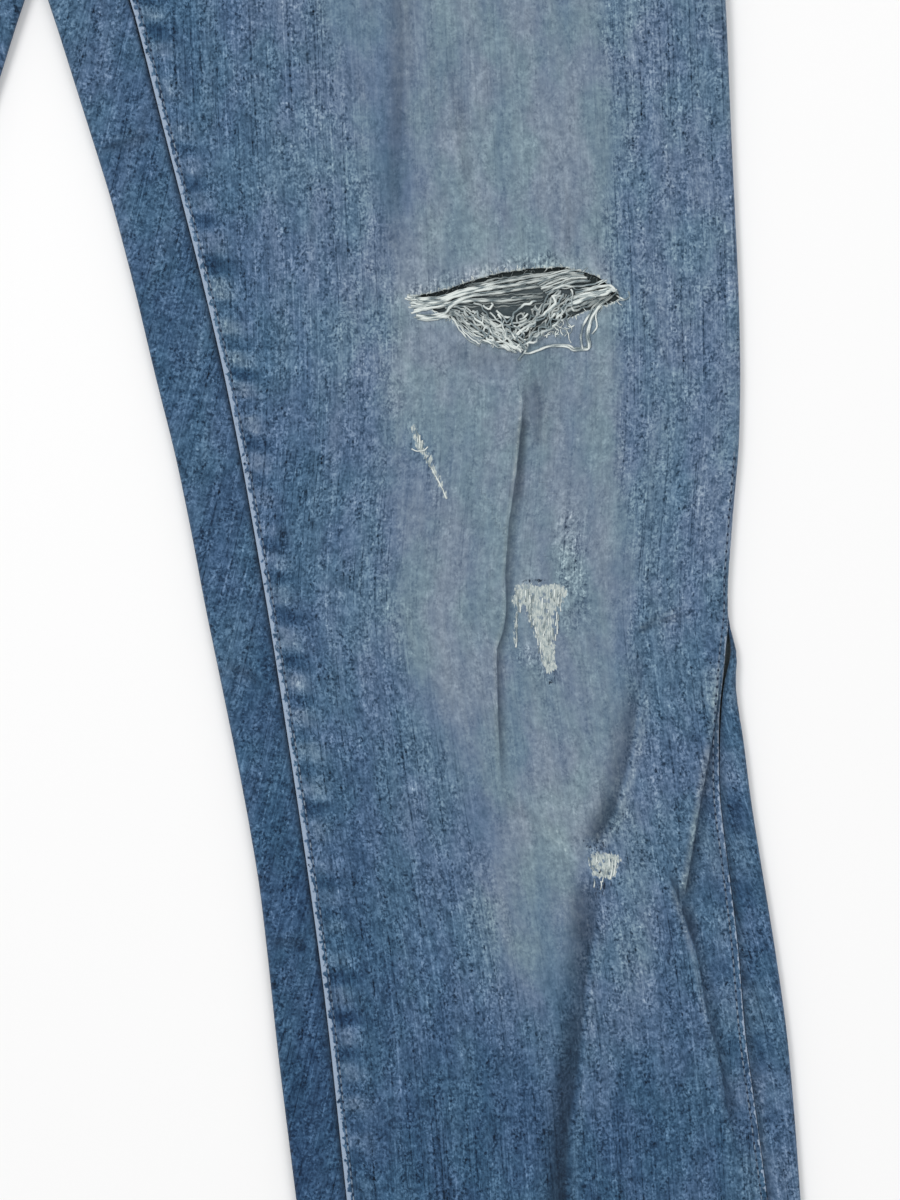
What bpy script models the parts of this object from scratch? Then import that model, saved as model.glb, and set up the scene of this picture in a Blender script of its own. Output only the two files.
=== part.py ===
"""Ripped jeans laid flat on their back, front up.

Every cut piece is a thin wall of cloth in its own object. Lengths below are millimetres in the
garment's own frame: x = 0 is the centre front, +x the wearer's left, y = 0 just above the crotch,
+y towards the waist, z = 0 the surface that the jeans lie on.
"""
import math

import bpy
import bmesh
import numpy as np
from mathutils import Vector

MM = 0.001

# Cloth
CLOTH = 1.2          # wall of one layer of denim
BAND = 2.4           # wall of the waistband and the hems, which are folded double
SEAM_GAP = 0.3       # space left between neighbouring pieces
FOLD_GAP = 3.0       # how many times more of it is left where the outseam runs on the folded edge
FOLD_GAP_REACH = 8.0
COLUMN_STEP = 2.5    # least space between columns beside the outseam
EDGE_RISE = 4.5      # upper cloth above lower cloth, middle to middle, at a folded edge
REST_RISE = 1.9      # the same where the upper cloth has sunk on to the lower
EDGE_REACH = 16.0    # how far in from a folded edge the cloth stays raised

# Garment
CROTCH_Y = -7.0      # lowest point of the gap between the legs
CROTCH_RADIUS = 2.5  # how tightly the cloth turns there
FORK_Y = 45.0        # where the four inner seams cross, on the front
HEM_Y_INNER = -767.0
HEM_Y_OUTER = -743.0
HEM_HEIGHT = 14.0
BAND_HEIGHT = 38.0
FRONT_BAND_Y = 232.0  # lower edge of the waistband at the centre front
BACK_BAND_Y = 262.0   # the same at the centre back
SIDE_BAND_Y = 244.0   # the same at the side
YOKE_Y_CENTRE = 187.0
YOKE_Y_SIDE = 209.0

# Silhouette of the left leg and hip, columns: y, x
INNER_EDGE = ((-16, 5), (-48, 15), (-80, 25), (-112, 35), (-144, 42), (-208, 58), (-256, 67),
              (-304, 77), (-368, 89), (-432, 96), (-496, 104), (-640, 122), (HEM_Y_INNER, 138))
OUTER_EDGE = ((282, 203), (SIDE_BAND_Y, 213), (200, 230), (150, 247), (100, 261), (50, 270),
              (0, 275), (-64, 278), (-160, 282), (-208, 281), (-260, 277), (-288, 281),
              (-336, 286), (-384, 294), (-432, 301), (-496, 306), (-600, 314), (HEM_Y_OUTER, 324))
# Inseam below the crotch, on top of the leg, columns: y, x
INSEAM = ((-16, 38), (-65, 50), (-112, 62), (-144, 70), (-185, 79), (-218, 85), (-252, 91),
          (-296, 98), (-362, 108), (-413, 115), (-496, 124), (-640, 141), (HEM_Y_INNER, 157))
# Outseam, columns: y, distance past the outer edge (positive beneath the leg, negative on top)
OUTSEAM = ((SIDE_BAND_Y, 6), (150, 12), (0, 16), (-200, 12), (-262, 0), (-317, -11), (-387, -14),
           (-428, -17), (-496, -13), (HEM_Y_OUTER, -12))

# Rows of a leg from hem to crotch, columns: y at the inner edge, y at the outer edge
LEG_ROWS = ((-753, -729), (-702, -681), (-650, -632), (-600, -584), (-552, -538), (-510, -499),
            (-472, -463), (-436, -429), (-402, -396), (-370, -365), (-338, -335), (-308, -306),
            (-282, -281), (-258, -260), (-230, -232), (-198, -200), (-164, -167), (-130, -135),
            (-94, -102), (-58, -68), (-26, -38))
# Rows that fan round the crotch, columns: turn in degrees, inseam x, inseam y, y at the outer edge
CROTCH_ROWS = ((66, 32, 2, -16), (44, 25, 22, -2), (20, 11, 40, 12), (0, 0, FORK_Y, 26))
# Rows of the hip, columns: y at centre front, y at centre back, y at the outer edge
HIP_ROWS = ((76, 38, 58), (112, 86, 98), (148, 134, 138), (178, 164, 174),
            (202, YOKE_Y_CENTRE, YOKE_Y_SIDE), (217, 225, 227), (FRONT_BAND_Y, BACK_BAND_Y, SIDE_BAND_Y))
YOKE_ROWS = 2        # the last rows of the hip belong to the yoke at the back

# Cells across the panels
FRONT_CELLS = {"left": 17, "right": 9}
STRIP_CELLS = 3
TURN_CELLS = 4
BACK_CELLS = 5
YOKE_CELLS = 9
HEM_CELLS = 10
FACING_CELLS = 6

# Folds of the upper cloth, columns: side, height, half width, path as (x, y) from the waist down
FOLDS = (
    ("left", 3.0, 9, ((262, -282), (259, -322), (250, -368))),
    ("left", 1.8, 9, ((252, -384), (262, -420), (270, -475))),
    ("left", 2.0, 9, ((240, -285), (234, -322), (226, -352))),
    ("left", 1.6, 10, ((186, -165), (181, -246), (177, -336))),
    ("left", 2.6, 12, ((232, -380), (228, -440), (222, -500), (226, -620))),
    ("left", 1.4, 12, ((150, -18), (158, -70))),
    ("right", 2.2, 12, ((270, -292), (222, -338), (180, -366))),
    ("right", 1.8, 11, ((80, -276), (132, -304), (170, -348))),
    ("right", 2.4, 12, ((196, -392), (206, -470), (212, -610))),
    ("right", 1.4, 12, ((158, -20), (166, -90))),
)

# Knee rip in the left front, points of its outline as (x, y)
RIP_OUTLINE = ((150, -136), (166, -132), (186, -126), (212, -124), (226, -128), (234, -133),
               (226, -139), (210, -146), (190, -154), (178, -150), (166, -143))

# Front pocket opening: quarter of an ellipse from the waistband down to the side
OPENING_X = 105.0
OPENING_Y = 165.0
OPENING_TOP = 236.0
OPENING_CELLS = 8
CUT_MARGIN = 40.0    # how far the cutting outline passes the edges of the front
FACING_X = 92.0
FACING_LOW_Y = 157.0
# Outer ends of the facing's rows, from just above the opening's lower end to the waistband
FACING_OUTER_YS = (OPENING_Y + 1.5, 174, YOKE_Y_SIDE, 227, SIDE_BAND_Y)

# Back pocket of the left seat, points as (x, y)
BACK_POCKET = ((38, 176), (46, 50), (114, 22), (182, 58), (186, 190))

# Waistband, opening at the centre front under the button
TUCKED_END_X = 36.0   # the end beneath, coming from the wearer's right
TUCKED_LAP_X = -12.0  # where that end starts to sink below the other
BUTTON_END_X = -2.0   # the end on top, coming from the left
BUTTON_LAP_X = 42.0   # where that end starts to climb over the other
FRONT_BAND_XS = (46, 80, 115, 150, 180)
BAND_BACK_CELLS = 12
BAND_TURN_CELLS = 4

# Fly and button
SHIELD_X = (-6.0, 34.0)
SHIELD_Y = (95.0, 231.0)
TAPE_X = (3.0, 31.0)
TAPE_Y = (101.0, 228.0)
TAPE_WALL = 0.7
SLIDER_WIDTH = 10.0
SLIDER_LENGTH = 14.0
SLIDER_TOP_Y = 221.0
BUTTON_X = 16.0
BUTTON_SIDES = 24
# Profile of the button's cap, columns: radius, height
BUTTON_PROFILE = ((8.0, 0.0), (8.6, 0.6), (8.6, 1.8), (7.9, 2.6), (6.6, 2.6), (5.6, 2.0), (2.5, 2.4))

# Belt loops
LOOP_WIDTH = 12.0
LOOP_FRONT_X = 100.0
LOOP_BACK_X = 118.0
LOOP_TAIL = 10.0      # how far a loop reaches below the waistband
LOOP_STEP = (5.0, 1.0)  # where a front loop starts to climb on to the band, and where it is up

SEAT_LIFT = CLOTH + SEAM_GAP   # the seat lies on its pockets and belt loops
HIP_RISE = EDGE_RISE           # the zip and its shield lie between the layers there
SEAT_REACH = (-90.0, 70.0)     # where the lift starts, and over how much length it comes
HIP_REACH = (-110.0, 100.0)    # the same for the rise of the upper cloth
HEM_RISE = 1.7                 # the thick hem holds the cloth above it up
HEM_REACH = 30.0


# ---------------------------------------------------------------- curves and heights
def smooth_curve(table):
    """A function of y through the table's points, with a smooth slope (cubic Hermite)."""
    points = sorted(table)
    ys = np.array([p[0] for p in points], float)
    xs = np.array([p[1] for p in points], float)
    steps = np.diff(xs) / np.diff(ys)
    slopes = np.concatenate(([steps[0]], (steps[1:] + steps[:-1]) / 2, [steps[-1]]))

    def value(y):
        i = int(np.clip(np.searchsorted(ys, y) - 1, 0, len(ys) - 2))
        h = ys[i + 1] - ys[i]
        t = (y - ys[i]) / h
        return float((1 + 2 * t) * (1 - t) ** 2 * xs[i] + t * (1 - t) ** 2 * h * slopes[i]
                     + t * t * (3 - 2 * t) * xs[i + 1] + t * t * (t - 1) * h * slopes[i + 1])
    return value


inner_x = smooth_curve(INNER_EDGE)
outer_x = smooth_curve(OUTER_EDGE)
inseam_x = smooth_curve(INSEAM)
seam_wrap = smooth_curve(OUTSEAM)
BAND_HALF_WIDTH = outer_x(SIDE_BAND_Y)


def smoothstep(t):
    t = min(max(t, 0.0), 1.0)
    return t * t * (3 - 2 * t)


def distance_to_path(x, y, path):
    """Plan distance from a point to a chain of straight runs."""
    best = 1e9
    for (ax, ay), (bx, by) in zip(path, path[1:]):
        run = (bx - ax) ** 2 + (by - ay) ** 2
        t = min(max(((x - ax) * (bx - ax) + (y - ay) * (by - ay)) / run, 0.0), 1.0)
        best = min(best, math.hypot(x - ax - t * (bx - ax), y - ay - t * (by - ay)))
    return best


def lower_z(y, wall=CLOTH):
    """Middle height of the cloth that lies underneath."""
    return wall / 2 + SEAT_LIFT * smoothstep((y - SEAT_REACH[0]) / SEAT_REACH[1])


def upper_z(side, x, y, drop=0.0, wall=CLOTH):
    """Middle height of the cloth on top, sunk between its raised edges, with its folds."""
    hip = smoothstep((y - HIP_REACH[0]) / HIP_REACH[1])
    hem = math.exp((HEM_Y_INNER - y) / HEM_REACH)
    middle = REST_RISE + (HIP_RISE - REST_RISE) * hip + HEM_RISE * hem
    inset = outer_x(max(y, HEM_Y_OUTER)) - x
    if y < INNER_EDGE[0][0]:
        inset = min(inset, x - inner_x(y))
    rise = middle + (EDGE_RISE - middle) * math.exp(-(max(inset, 0.0) / EDGE_REACH) ** 2)
    for fold_side, height, half_width, path in FOLDS:
        if fold_side == side:
            rise += height * math.exp(-(distance_to_path(x, y, path) / half_width) ** 2)
    return lower_z(y, wall) + rise - drop


# ---------------------------------------------------------------- sections
class Row:
    """One line across a panel: a start on the inner side and a folded edge on the outer side."""

    def __init__(self, side, start, outer_y, wall=CLOTH, drop=0.0):
        self.side, self.wall, self.drop = side, wall, drop
        self.start = np.array(start, float)
        self.edge = np.array((outer_x(outer_y) - wall / 2, outer_y), float)
        self.along = (self.edge - self.start) / np.linalg.norm(self.edge - self.start)
        self.low = lower_z(outer_y, wall)
        self.radius = (EDGE_RISE - drop - (wall - CLOTH) / 2) / 2
        wrap = seam_wrap(outer_y)
        narrower = (EDGE_RISE / 2 - self.radius) * (math.pi / 2 - 1)
        self.wrap = wrap - math.copysign(narrower, wrap)
        self.gap = SEAM_GAP / 2 * (1 + FOLD_GAP * math.exp(-(wrap / FOLD_GAP_REACH) ** 2))

    def outer_point(self, q):
        """Point at distance q past the outer edge: beneath for q > 0, on top for q < 0."""
        quarter = self.radius * math.pi / 2
        if abs(q) <= quarter:
            turn = q / self.radius
            x, y = self.edge - self.along * self.radius * (1 - math.cos(turn))
            return x, y, self.low + self.radius * (1 - math.sin(turn))
        x, y = self.edge - self.along * (self.radius + abs(q) - quarter)
        if q > 0:
            return x, y, lower_z(y, self.wall)
        return x, y, upper_z(self.side, x, y, self.drop, self.wall)

    def upper_line(self, start, seam, cells):
        """Points from a start on top, over the top and round the outer edge to the outseam."""
        past = [-q for q in side_columns(-seam)]
        quarter = self.radius * math.pi / 2
        start = np.array(start, float)
        length = np.linalg.norm(self.edge - start) - self.radius + quarter
        reach = np.linspace(-length, past[-1], cells + 1)[:-1]
        points = []
        for q in reach:
            share = (q + length) / (length + past[-1])
            end = np.array(self.outer_point(past[-1])[:2])
            x, y = start + (end - start) * share
            points.append((x, y, upper_z(self.side, x, y, self.drop, self.wall)))
        return points + [self.outer_point(q) for q in reversed(past)]

    def lower_line(self, start, seam, cells):
        """Points from a start underneath to the outseam."""
        past = side_columns(seam)
        end = np.array(self.outer_point(past[-1])[:2])
        start = np.array(start, float)
        points = []
        for share in np.linspace(0, 1, cells + 1)[:-1]:
            x, y = start + (end - start) * share
            points.append((x, y, lower_z(y, self.wall)))
        return points + [self.outer_point(q) for q in reversed(past)]


def side_columns(seam):
    """Distances past the outer edge from the outseam inwards, close together round the edge."""
    quarter = EDGE_RISE * math.pi / 4
    turn = [seam, (seam - quarter) / 2] + [quarter * t for t in (-1, -0.5, 0, 0.5, 1)]
    return [max(t, seam + COLUMN_STEP * j) for j, t in enumerate(turn)]


def leg_rows(side, wall=CLOTH, rows=LEG_ROWS):
    """Rows of a leg: (row, point on the inner edge, outward direction there, inseam point)."""
    result = []
    for y_in, y_out in rows:
        inner = np.array((inner_x(y_in) + wall / 2, y_in), float)
        row = Row(side, inner, y_out, wall)
        share = (inseam_x(y_in) - inner[0]) / (row.edge[0] - inner[0])
        seam_y = y_in + share * (y_out - y_in)
        result.append((row, inner, -row.along, np.array((inseam_x(seam_y), seam_y))))
    return result


def crotch_rows(side):
    """Rows that fan round the lowest point of the gap between the legs."""
    result = []
    for turn, seam_x, seam_y, outer_y in CROTCH_ROWS:
        angle = math.radians(turn)
        outward = np.array((-math.sin(angle), -math.cos(angle)))
        centre = np.array((0.0, CROTCH_Y - CROTCH_RADIUS))
        inner = centre - outward * (CROTCH_RADIUS + CLOTH / 2)
        result.append((Row(side, inner, outer_y), inner, outward, np.array((seam_x, seam_y), float)))
    return result


def strip_and_turn(row, inner, outward, seam):
    """Back panel from the inseam across the top strip and round the inner edge."""
    radius = EDGE_RISE / 2 - (row.wall - CLOTH) / 4
    fold = inner - outward * radius
    seam = seam - (seam - fold) / np.linalg.norm(seam - fold) * SEAM_GAP / 2
    points = []
    for share in np.linspace(0, 1, STRIP_CELLS + 1)[:-1]:
        x, y = seam + (fold - seam) * share
        points.append((x, y, upper_z(row.side, x, y, 0.0, row.wall)))
    low = lower_z(fold[1], row.wall)
    for angle in np.linspace(math.pi / 2, -math.pi / 2, TURN_CELLS + 1):
        x, y = fold + outward * radius * math.cos(angle)
        points.append((x, y, low + radius * (1 + math.sin(angle))))
    return points


# ---------------------------------------------------------------- objects
def fabric(name, colour, roughness, metallic=0.0):
    material = bpy.data.materials.new(name)
    material.use_nodes = True
    shader = material.node_tree.nodes["Principled BSDF"]
    shader.inputs["Base Color"].default_value = (*colour, 1.0)
    shader.inputs["Roughness"].default_value = roughness
    shader.inputs["Metallic"].default_value = metallic
    return material


def add_object(name, points, faces, material, side="left"):
    """Mesh object from points in millimetres; the right side is the left side mirrored."""
    mirror = -1.0 if side == "right" else 1.0
    mesh = bpy.data.meshes.new(name)
    mesh.from_pydata([(x * mirror * MM, y * MM, z * MM) for x, y, z in points], [], faces)
    work = bmesh.new()
    work.from_mesh(mesh)
    bmesh.ops.recalc_face_normals(work, faces=work.faces)
    work.to_mesh(mesh)
    work.free()
    mesh.materials.append(material)
    mesh.shade_smooth()
    body = bpy.data.objects.new(name, mesh)
    bpy.context.scene.collection.objects.link(body)
    return body


def thicken(body, wall):
    """Give a sheet its wall, half to each side."""
    solid = body.modifiers.new("wall", "SOLIDIFY")
    solid.thickness = wall * MM
    solid.offset = 0.0
    solid.use_rim = True
    return body


def grid(lines, closed=False):
    """Points and four-sided faces of lines of equal length, joined one after another."""
    columns = len(lines[0])
    points = [p for line in lines for p in line]
    faces = []
    for i in range(len(lines) - 1):
        for j in range(columns if closed else columns - 1):
            a, b = i * columns + j, i * columns + (j + 1) % columns
            faces.append((a, b, b + columns, a + columns))
    return points, faces


def prism(name, outline, low, high):
    """Upright closed prism on a plan outline."""
    count = len(outline)
    points = [(x, y, low) for x, y in outline] + [(x, y, high) for x, y in outline]
    faces = [tuple(range(count)), tuple(range(count, 2 * count))]
    faces += [(i, (i + 1) % count, count + (i + 1) % count, count + i) for i in range(count)]
    return name, points, faces


def cut(body, outline, side="left", name=None):
    """Cut a plan outline right through a piece; the cutter itself is hidden."""
    cutter = add_object(*prism(name, outline, -CUT_MARGIN, CUT_MARGIN), body.data.materials[0], side)
    cutter.hide_render = True
    cutter.display_type = "WIRE"
    hole = body.modifiers.new("opening", "BOOLEAN")
    hole.operation = "DIFFERENCE"
    hole.object = cutter


def front_panel(side, material):
    lines = []
    cells = FRONT_CELLS[side]
    for row, _, _, seam in leg_rows(side) + crotch_rows(side):
        seam = seam + (row.edge - seam) / np.linalg.norm(row.edge - seam) * SEAM_GAP / 2
        lines.append(row.upper_line(seam, row.wrap - row.gap, cells))
    for front_y, _, outer_y in HIP_ROWS:
        row = Row(side, (0, front_y), outer_y)
        lines.append(row.upper_line((SEAM_GAP / 2, front_y), row.wrap - row.gap, cells))
    shorten(lines)
    body = thicken(add_object(f"front_{side}", *grid(lines), material, side), CLOTH)
    side_x = outer_x(OPENING_Y)
    opening = [(side_x + CUT_MARGIN, OPENING_Y)]
    for angle in np.linspace(math.pi / 2, 0, OPENING_CELLS + 1):
        opening.append((side_x - (side_x - OPENING_X) * math.cos(angle),
                        OPENING_TOP - (OPENING_TOP - OPENING_Y) * math.sin(angle)))
    opening += [(OPENING_X, OPENING_TOP + CUT_MARGIN), (side_x + CUT_MARGIN, OPENING_TOP + CUT_MARGIN)]
    cut(body, opening, side, f"pocket_cutter_{side}")
    if side == "left":
        cut(body, RIP_OUTLINE, side, "rip_cutter")
    return body


def shorten_line(line, inside):
    """Draw a panel's end line in by half a seam gap, towards the line inside it."""
    for j, (point, target) in enumerate(zip(line, inside)):
        step = Vector(target) - Vector(point)
        line[j] = tuple(Vector(point) + step.normalized() * SEAM_GAP / 2)


def shorten(lines):
    """Draw in both end lines of a panel."""
    shorten_line(lines[0], lines[1])
    shorten_line(lines[-1], lines[-2])


def back_panel(side, material):
    """Top strip, inner turn and underside of a leg, and the seat up to the yoke."""
    lines = []
    for row, inner, outward, seam in leg_rows(side) + crotch_rows(side):
        wrap = strip_and_turn(row, inner, outward, seam)
        under = row.lower_line(wrap[-1][:2], row.wrap + row.gap, BACK_CELLS)
        lines.append(wrap + under[1:])
    lines[-1] = [(SEAM_GAP / 2, p[1], p[2]) if p[0] < SEAM_GAP / 2 else p for p in lines[-1]]
    seat = []
    for _, back_y, outer_y in HIP_ROWS[:-YOKE_ROWS]:
        row = Row(side, (0, back_y), outer_y)
        seat.append(row.lower_line((SEAM_GAP / 2, back_y), row.wrap + row.gap, BACK_CELLS))
    shorten_line(lines[0], lines[1])
    shorten_line(seat[-1], seat[-2])
    points, faces = grid(lines)
    shared = len(points) - len(lines[-1]) + STRIP_CELLS + TURN_CELLS
    width = len(seat[0])
    base = len(points)
    points += [p for line in seat for p in line]
    for i in range(len(seat)):
        for j in range(width - 1):
            under = shared + j if i == 0 else base + (i - 1) * width + j
            over = base + i * width + j
            faces.append((under, under + 1, over + 1, over))
    return thicken(add_object(f"back_{side}", points, faces, material, side), CLOTH)


def yoke(side, material):
    lines = []
    for _, back_y, outer_y in HIP_ROWS[-YOKE_ROWS - 1:]:
        row = Row(side, (0, back_y), outer_y)
        lines.append(row.lower_line((SEAM_GAP / 2, back_y), row.wrap + row.gap, YOKE_CELLS))
    shorten(lines)
    for line, share in zip(lines, (0.0, 0.5, 1.0)):
        for j, (x, y, z) in enumerate(line):
            straight = BACK_BAND_Y + (SIDE_BAND_Y - BACK_BAND_Y) * min(x / BAND_HALF_WIDTH, 1.0)
            line[j] = (x, y + share * (band_y(x, BACK_BAND_Y) - straight), z)
    return thicken(add_object(f"yoke_{side}", *grid(lines), material, side), CLOTH)


def pocket_facing(side, material):
    """Denim behind the pocket opening, one layer below the front and round the side."""
    drop = CLOTH + SEAM_GAP
    lines = []
    low, high = FACING_OUTER_YS[0], FACING_OUTER_YS[-1]
    for outer_y in FACING_OUTER_YS:
        share = (outer_y - low) / (high - low)
        start = (FACING_X, FACING_LOW_Y + share * (OPENING_TOP - FACING_LOW_Y))
        row = Row(side, start, outer_y, CLOTH, drop)
        lines.append(row.upper_line(start, row.wrap - SEAM_GAP, FACING_CELLS))
    lines[-1] = [(x, y - SEAM_GAP / 2, z) for x, y, z in lines[-1]]
    return thicken(add_object(f"pocket_facing_{side}", *grid(lines), material, side), CLOTH)


def band_y(x, centre_y):
    """Lower edge of the waistband: straight to the side in front, a gentle arch at the back."""
    share = min(abs(x) / BAND_HALF_WIDTH, 1.0)
    if centre_y == BACK_BAND_Y:
        share *= share
    return centre_y + (SIDE_BAND_Y - centre_y) * share


def band_turn(side_x, sign, under):
    """Stations of the waistband round one side, from the upper layer to the lower."""
    radius = EDGE_RISE / 2
    stations = []
    for angle in np.linspace(-math.pi / 2, math.pi / 2, BAND_TURN_CELLS + 1):
        centre = FRONT_BAND_Y if angle < -0.1 else BACK_BAND_Y if angle > 0.1 else SIDE_BAND_Y
        x = sign * (side_x - radius * (1 - math.cos(angle)))
        stations.append((x, under + radius * (1 - math.sin(angle)), centre))
    return stations


def waistband(material):
    """Band folded flat, from the end under the button all round to the end over it."""
    lower_width = BAND_HALF_WIDTH - BAND / 2
    upper_width = outer_x(SIDE_BAND_Y + BAND_HEIGHT) - BAND / 2
    under = SEAT_LIFT + BAND / 2
    over = under + EDGE_RISE
    tucked = under + BAND + SEAM_GAP
    button_end = tucked + BAND + SEAM_GAP
    stations = [(x, tucked, FRONT_BAND_Y) for x in np.linspace(TUCKED_END_X, TUCKED_LAP_X, 3)]
    stations += [(-x, over, FRONT_BAND_Y) for x in FRONT_BAND_XS]
    stations += band_turn(lower_width, -1, under)
    back_x = FRONT_BAND_XS[-1]
    stations += [(x, under, BACK_BAND_Y) for x in np.linspace(-back_x, back_x, BAND_BACK_CELLS + 1)]
    stations += band_turn(lower_width, 1, under)[::-1]
    stations += [(x, over, FRONT_BAND_Y) for x in FRONT_BAND_XS[:0:-1]]
    stations += [(x, button_end, FRONT_BAND_Y) for x in np.linspace(BUTTON_LAP_X, BUTTON_END_X, 3)]
    lines = []
    for share in (0.0, 0.5, 1.0):
        scale = 1 + share * (upper_width / lower_width - 1)
        rise = SEAM_GAP / 2 + share * (BAND_HEIGHT - SEAM_GAP / 2)
        lines.append([(x * scale, band_y(x, centre) + rise, z) for x, z, centre in stations])
    return thicken(add_object("waistband", *grid(lines), material), BAND)


def hem(side, material):
    """Turned-up end of a leg, a closed flat ring."""
    rows = (LEG_ROWS[0], (HEM_Y_INNER, HEM_Y_OUTER))
    lines = []
    for row, inner, outward, seam in leg_rows(side, BAND, rows):
        over = row.upper_line(seam, row.wrap, HEM_CELLS)
        wrap = strip_and_turn(row, inner, outward, seam)
        under = row.lower_line(wrap[-1][:2], row.wrap, BACK_CELLS)
        lines.append(over + (wrap + under[1:])[-2:0:-1])
    step = (np.array(lines[1]) - np.array(lines[0])) / HEM_HEIGHT * SEAM_GAP / 2
    lines[0] = [tuple(p) for p in np.array(lines[0]) + step]
    return thicken(add_object(f"hem_{side}", *grid(lines, closed=True), material, side), BAND)


def flat_patch(name, outline, z, wall, material, side="left"):
    points = [(x, y, z) for x, y in outline]
    return thicken(add_object(name, points, [tuple(range(len(points)))], material, side), wall)


def belt_loop(name, x, material, front):
    """Strip of folded denim across the waistband: over it in front, under it at the back."""
    half = LOOP_WIDTH / 2
    low = band_y(x, FRONT_BAND_Y if front else BACK_BAND_Y)
    if front:
        panel = SEAT_LIFT + CLOTH / 2 + HIP_RISE + CLOTH + SEAM_GAP
        band = SEAT_LIFT + BAND / 2 + EDGE_RISE + BAND / 2 + SEAM_GAP + CLOTH / 2
        step_low, step_high = LOOP_STEP
        profile = ((low - LOOP_TAIL, panel), (low - step_low, panel), (low - step_high, band),
                   (low + BAND_HEIGHT, band))
    else:
        profile = ((low - LOOP_TAIL, CLOTH / 2), (low + BAND_HEIGHT, CLOTH / 2))
    lines = [[(x + dx, y, z) for dx in (-half, half)] for y, z in profile]
    return thicken(add_object(name, *grid(lines), material), CLOTH)


def rectangle(xs, ys):
    """Corners of a plan rectangle, anticlockwise."""
    return [(xs[0], ys[0]), (xs[1], ys[0]), (xs[1], ys[1]), (xs[0], ys[1])]


def fly_zip(material):
    """Closed zip behind the fly: its tape, with the slider standing on the upper end."""
    low = SEAT_LIFT + 2 * (CLOTH + SEAM_GAP)
    body = add_object(*prism("fly_zip", rectangle(TAPE_X, TAPE_Y), low, low + TAPE_WALL), material)
    middle = sum(TAPE_X) / 2
    slider_x = (middle - SLIDER_WIDTH / 2, middle + SLIDER_WIDTH / 2)
    outline = rectangle(slider_x, (SLIDER_TOP_Y - SLIDER_LENGTH, SLIDER_TOP_Y))
    block = add_object(*prism("zip_slider", outline, low + TAPE_WALL / 2, low + CLOTH), material)
    block.hide_render = True
    block.display_type = "WIRE"
    join = body.modifiers.new("slider", "BOOLEAN")
    join.operation = "UNION"
    join.object = block
    return body


def waist_button(material):
    """Turned metal cap with a raised rim, on the button end of the waistband."""
    floor = SEAT_LIFT + 3 * BAND + 3 * SEAM_GAP
    y = FRONT_BAND_Y + BAND_HEIGHT / 2
    rings = []
    for radius, height in BUTTON_PROFILE:
        ring = []
        for k in range(BUTTON_SIDES):
            turn = 2 * math.pi * k / BUTTON_SIDES
            ring.append((BUTTON_X + radius * math.cos(turn), y + radius * math.sin(turn), floor + height))
        rings.append(ring)
    points, faces = grid(rings, closed=True)
    faces += [tuple(range(BUTTON_SIDES)), tuple(range(len(points) - BUTTON_SIDES, len(points)))]
    return add_object("waist_button", points, faces, material)


def centre_on_origin():
    """Move every object so that the whole garment is centred over the origin."""
    graph = bpy.context.evaluated_depsgraph_get()
    low, high = np.full(3, 1e9), np.full(3, -1e9)
    for body in bpy.context.scene.objects:
        if body.hide_render:
            continue
        mesh = body.evaluated_get(graph).to_mesh()
        places = np.array([tuple(body.matrix_world @ v.co) for v in mesh.vertices])
        low, high = np.minimum(low, places.min(0)), np.maximum(high, places.max(0))
    shift = Vector((-(low[0] + high[0]) / 2, -(low[1] + high[1]) / 2, 0.0))
    for body in bpy.context.scene.objects:
        body.location += shift


def main():
    for old in list(bpy.data.objects):
        bpy.data.objects.remove(old, do_unlink=True)
    denim = fabric("denim", (0.13, 0.20, 0.29), 0.85)
    denim_dark = fabric("denim_dark", (0.05, 0.10, 0.18), 0.85)
    brass = fabric("brass", (0.42, 0.30, 0.16), 0.35, 1.0)
    zip_tape = fabric("zip_metal", (0.30, 0.27, 0.20), 0.5, 0.6)
    for side in ("left", "right"):
        front_panel(side, denim)
        back_panel(side, denim)
        yoke(side, denim)
        pocket_facing(side, denim_dark)
        hem(side, denim)
        flat_patch(f"back_pocket_{side}", BACK_POCKET, CLOTH / 2, CLOTH, denim, side)
        sign = -1 if side == "right" else 1
        belt_loop(f"belt_loop_front_{side}", sign * LOOP_FRONT_X, denim, True)
        belt_loop(f"belt_loop_back_{side}", sign * LOOP_BACK_X, denim, False)
    belt_loop("belt_loop_back_centre", 0, denim, False)
    waistband(denim)
    shield_z = SEAT_LIFT + CLOTH + SEAM_GAP + CLOTH / 2
    flat_patch("fly_shield", rectangle(SHIELD_X, SHIELD_Y), shield_z, CLOTH, denim_dark)
    fly_zip(zip_tape)
    waist_button(brass)
    bpy.context.view_layer.update()
    centre_on_origin()


main()
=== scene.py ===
"""Looks of the ripped jeans laid flat: cloth shells, seams, worn places and loose threads."""
import math
import random

import bmesh
import bpy
import numpy as np
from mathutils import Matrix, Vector, noise
from mathutils.bvhtree import BVHTree


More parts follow.
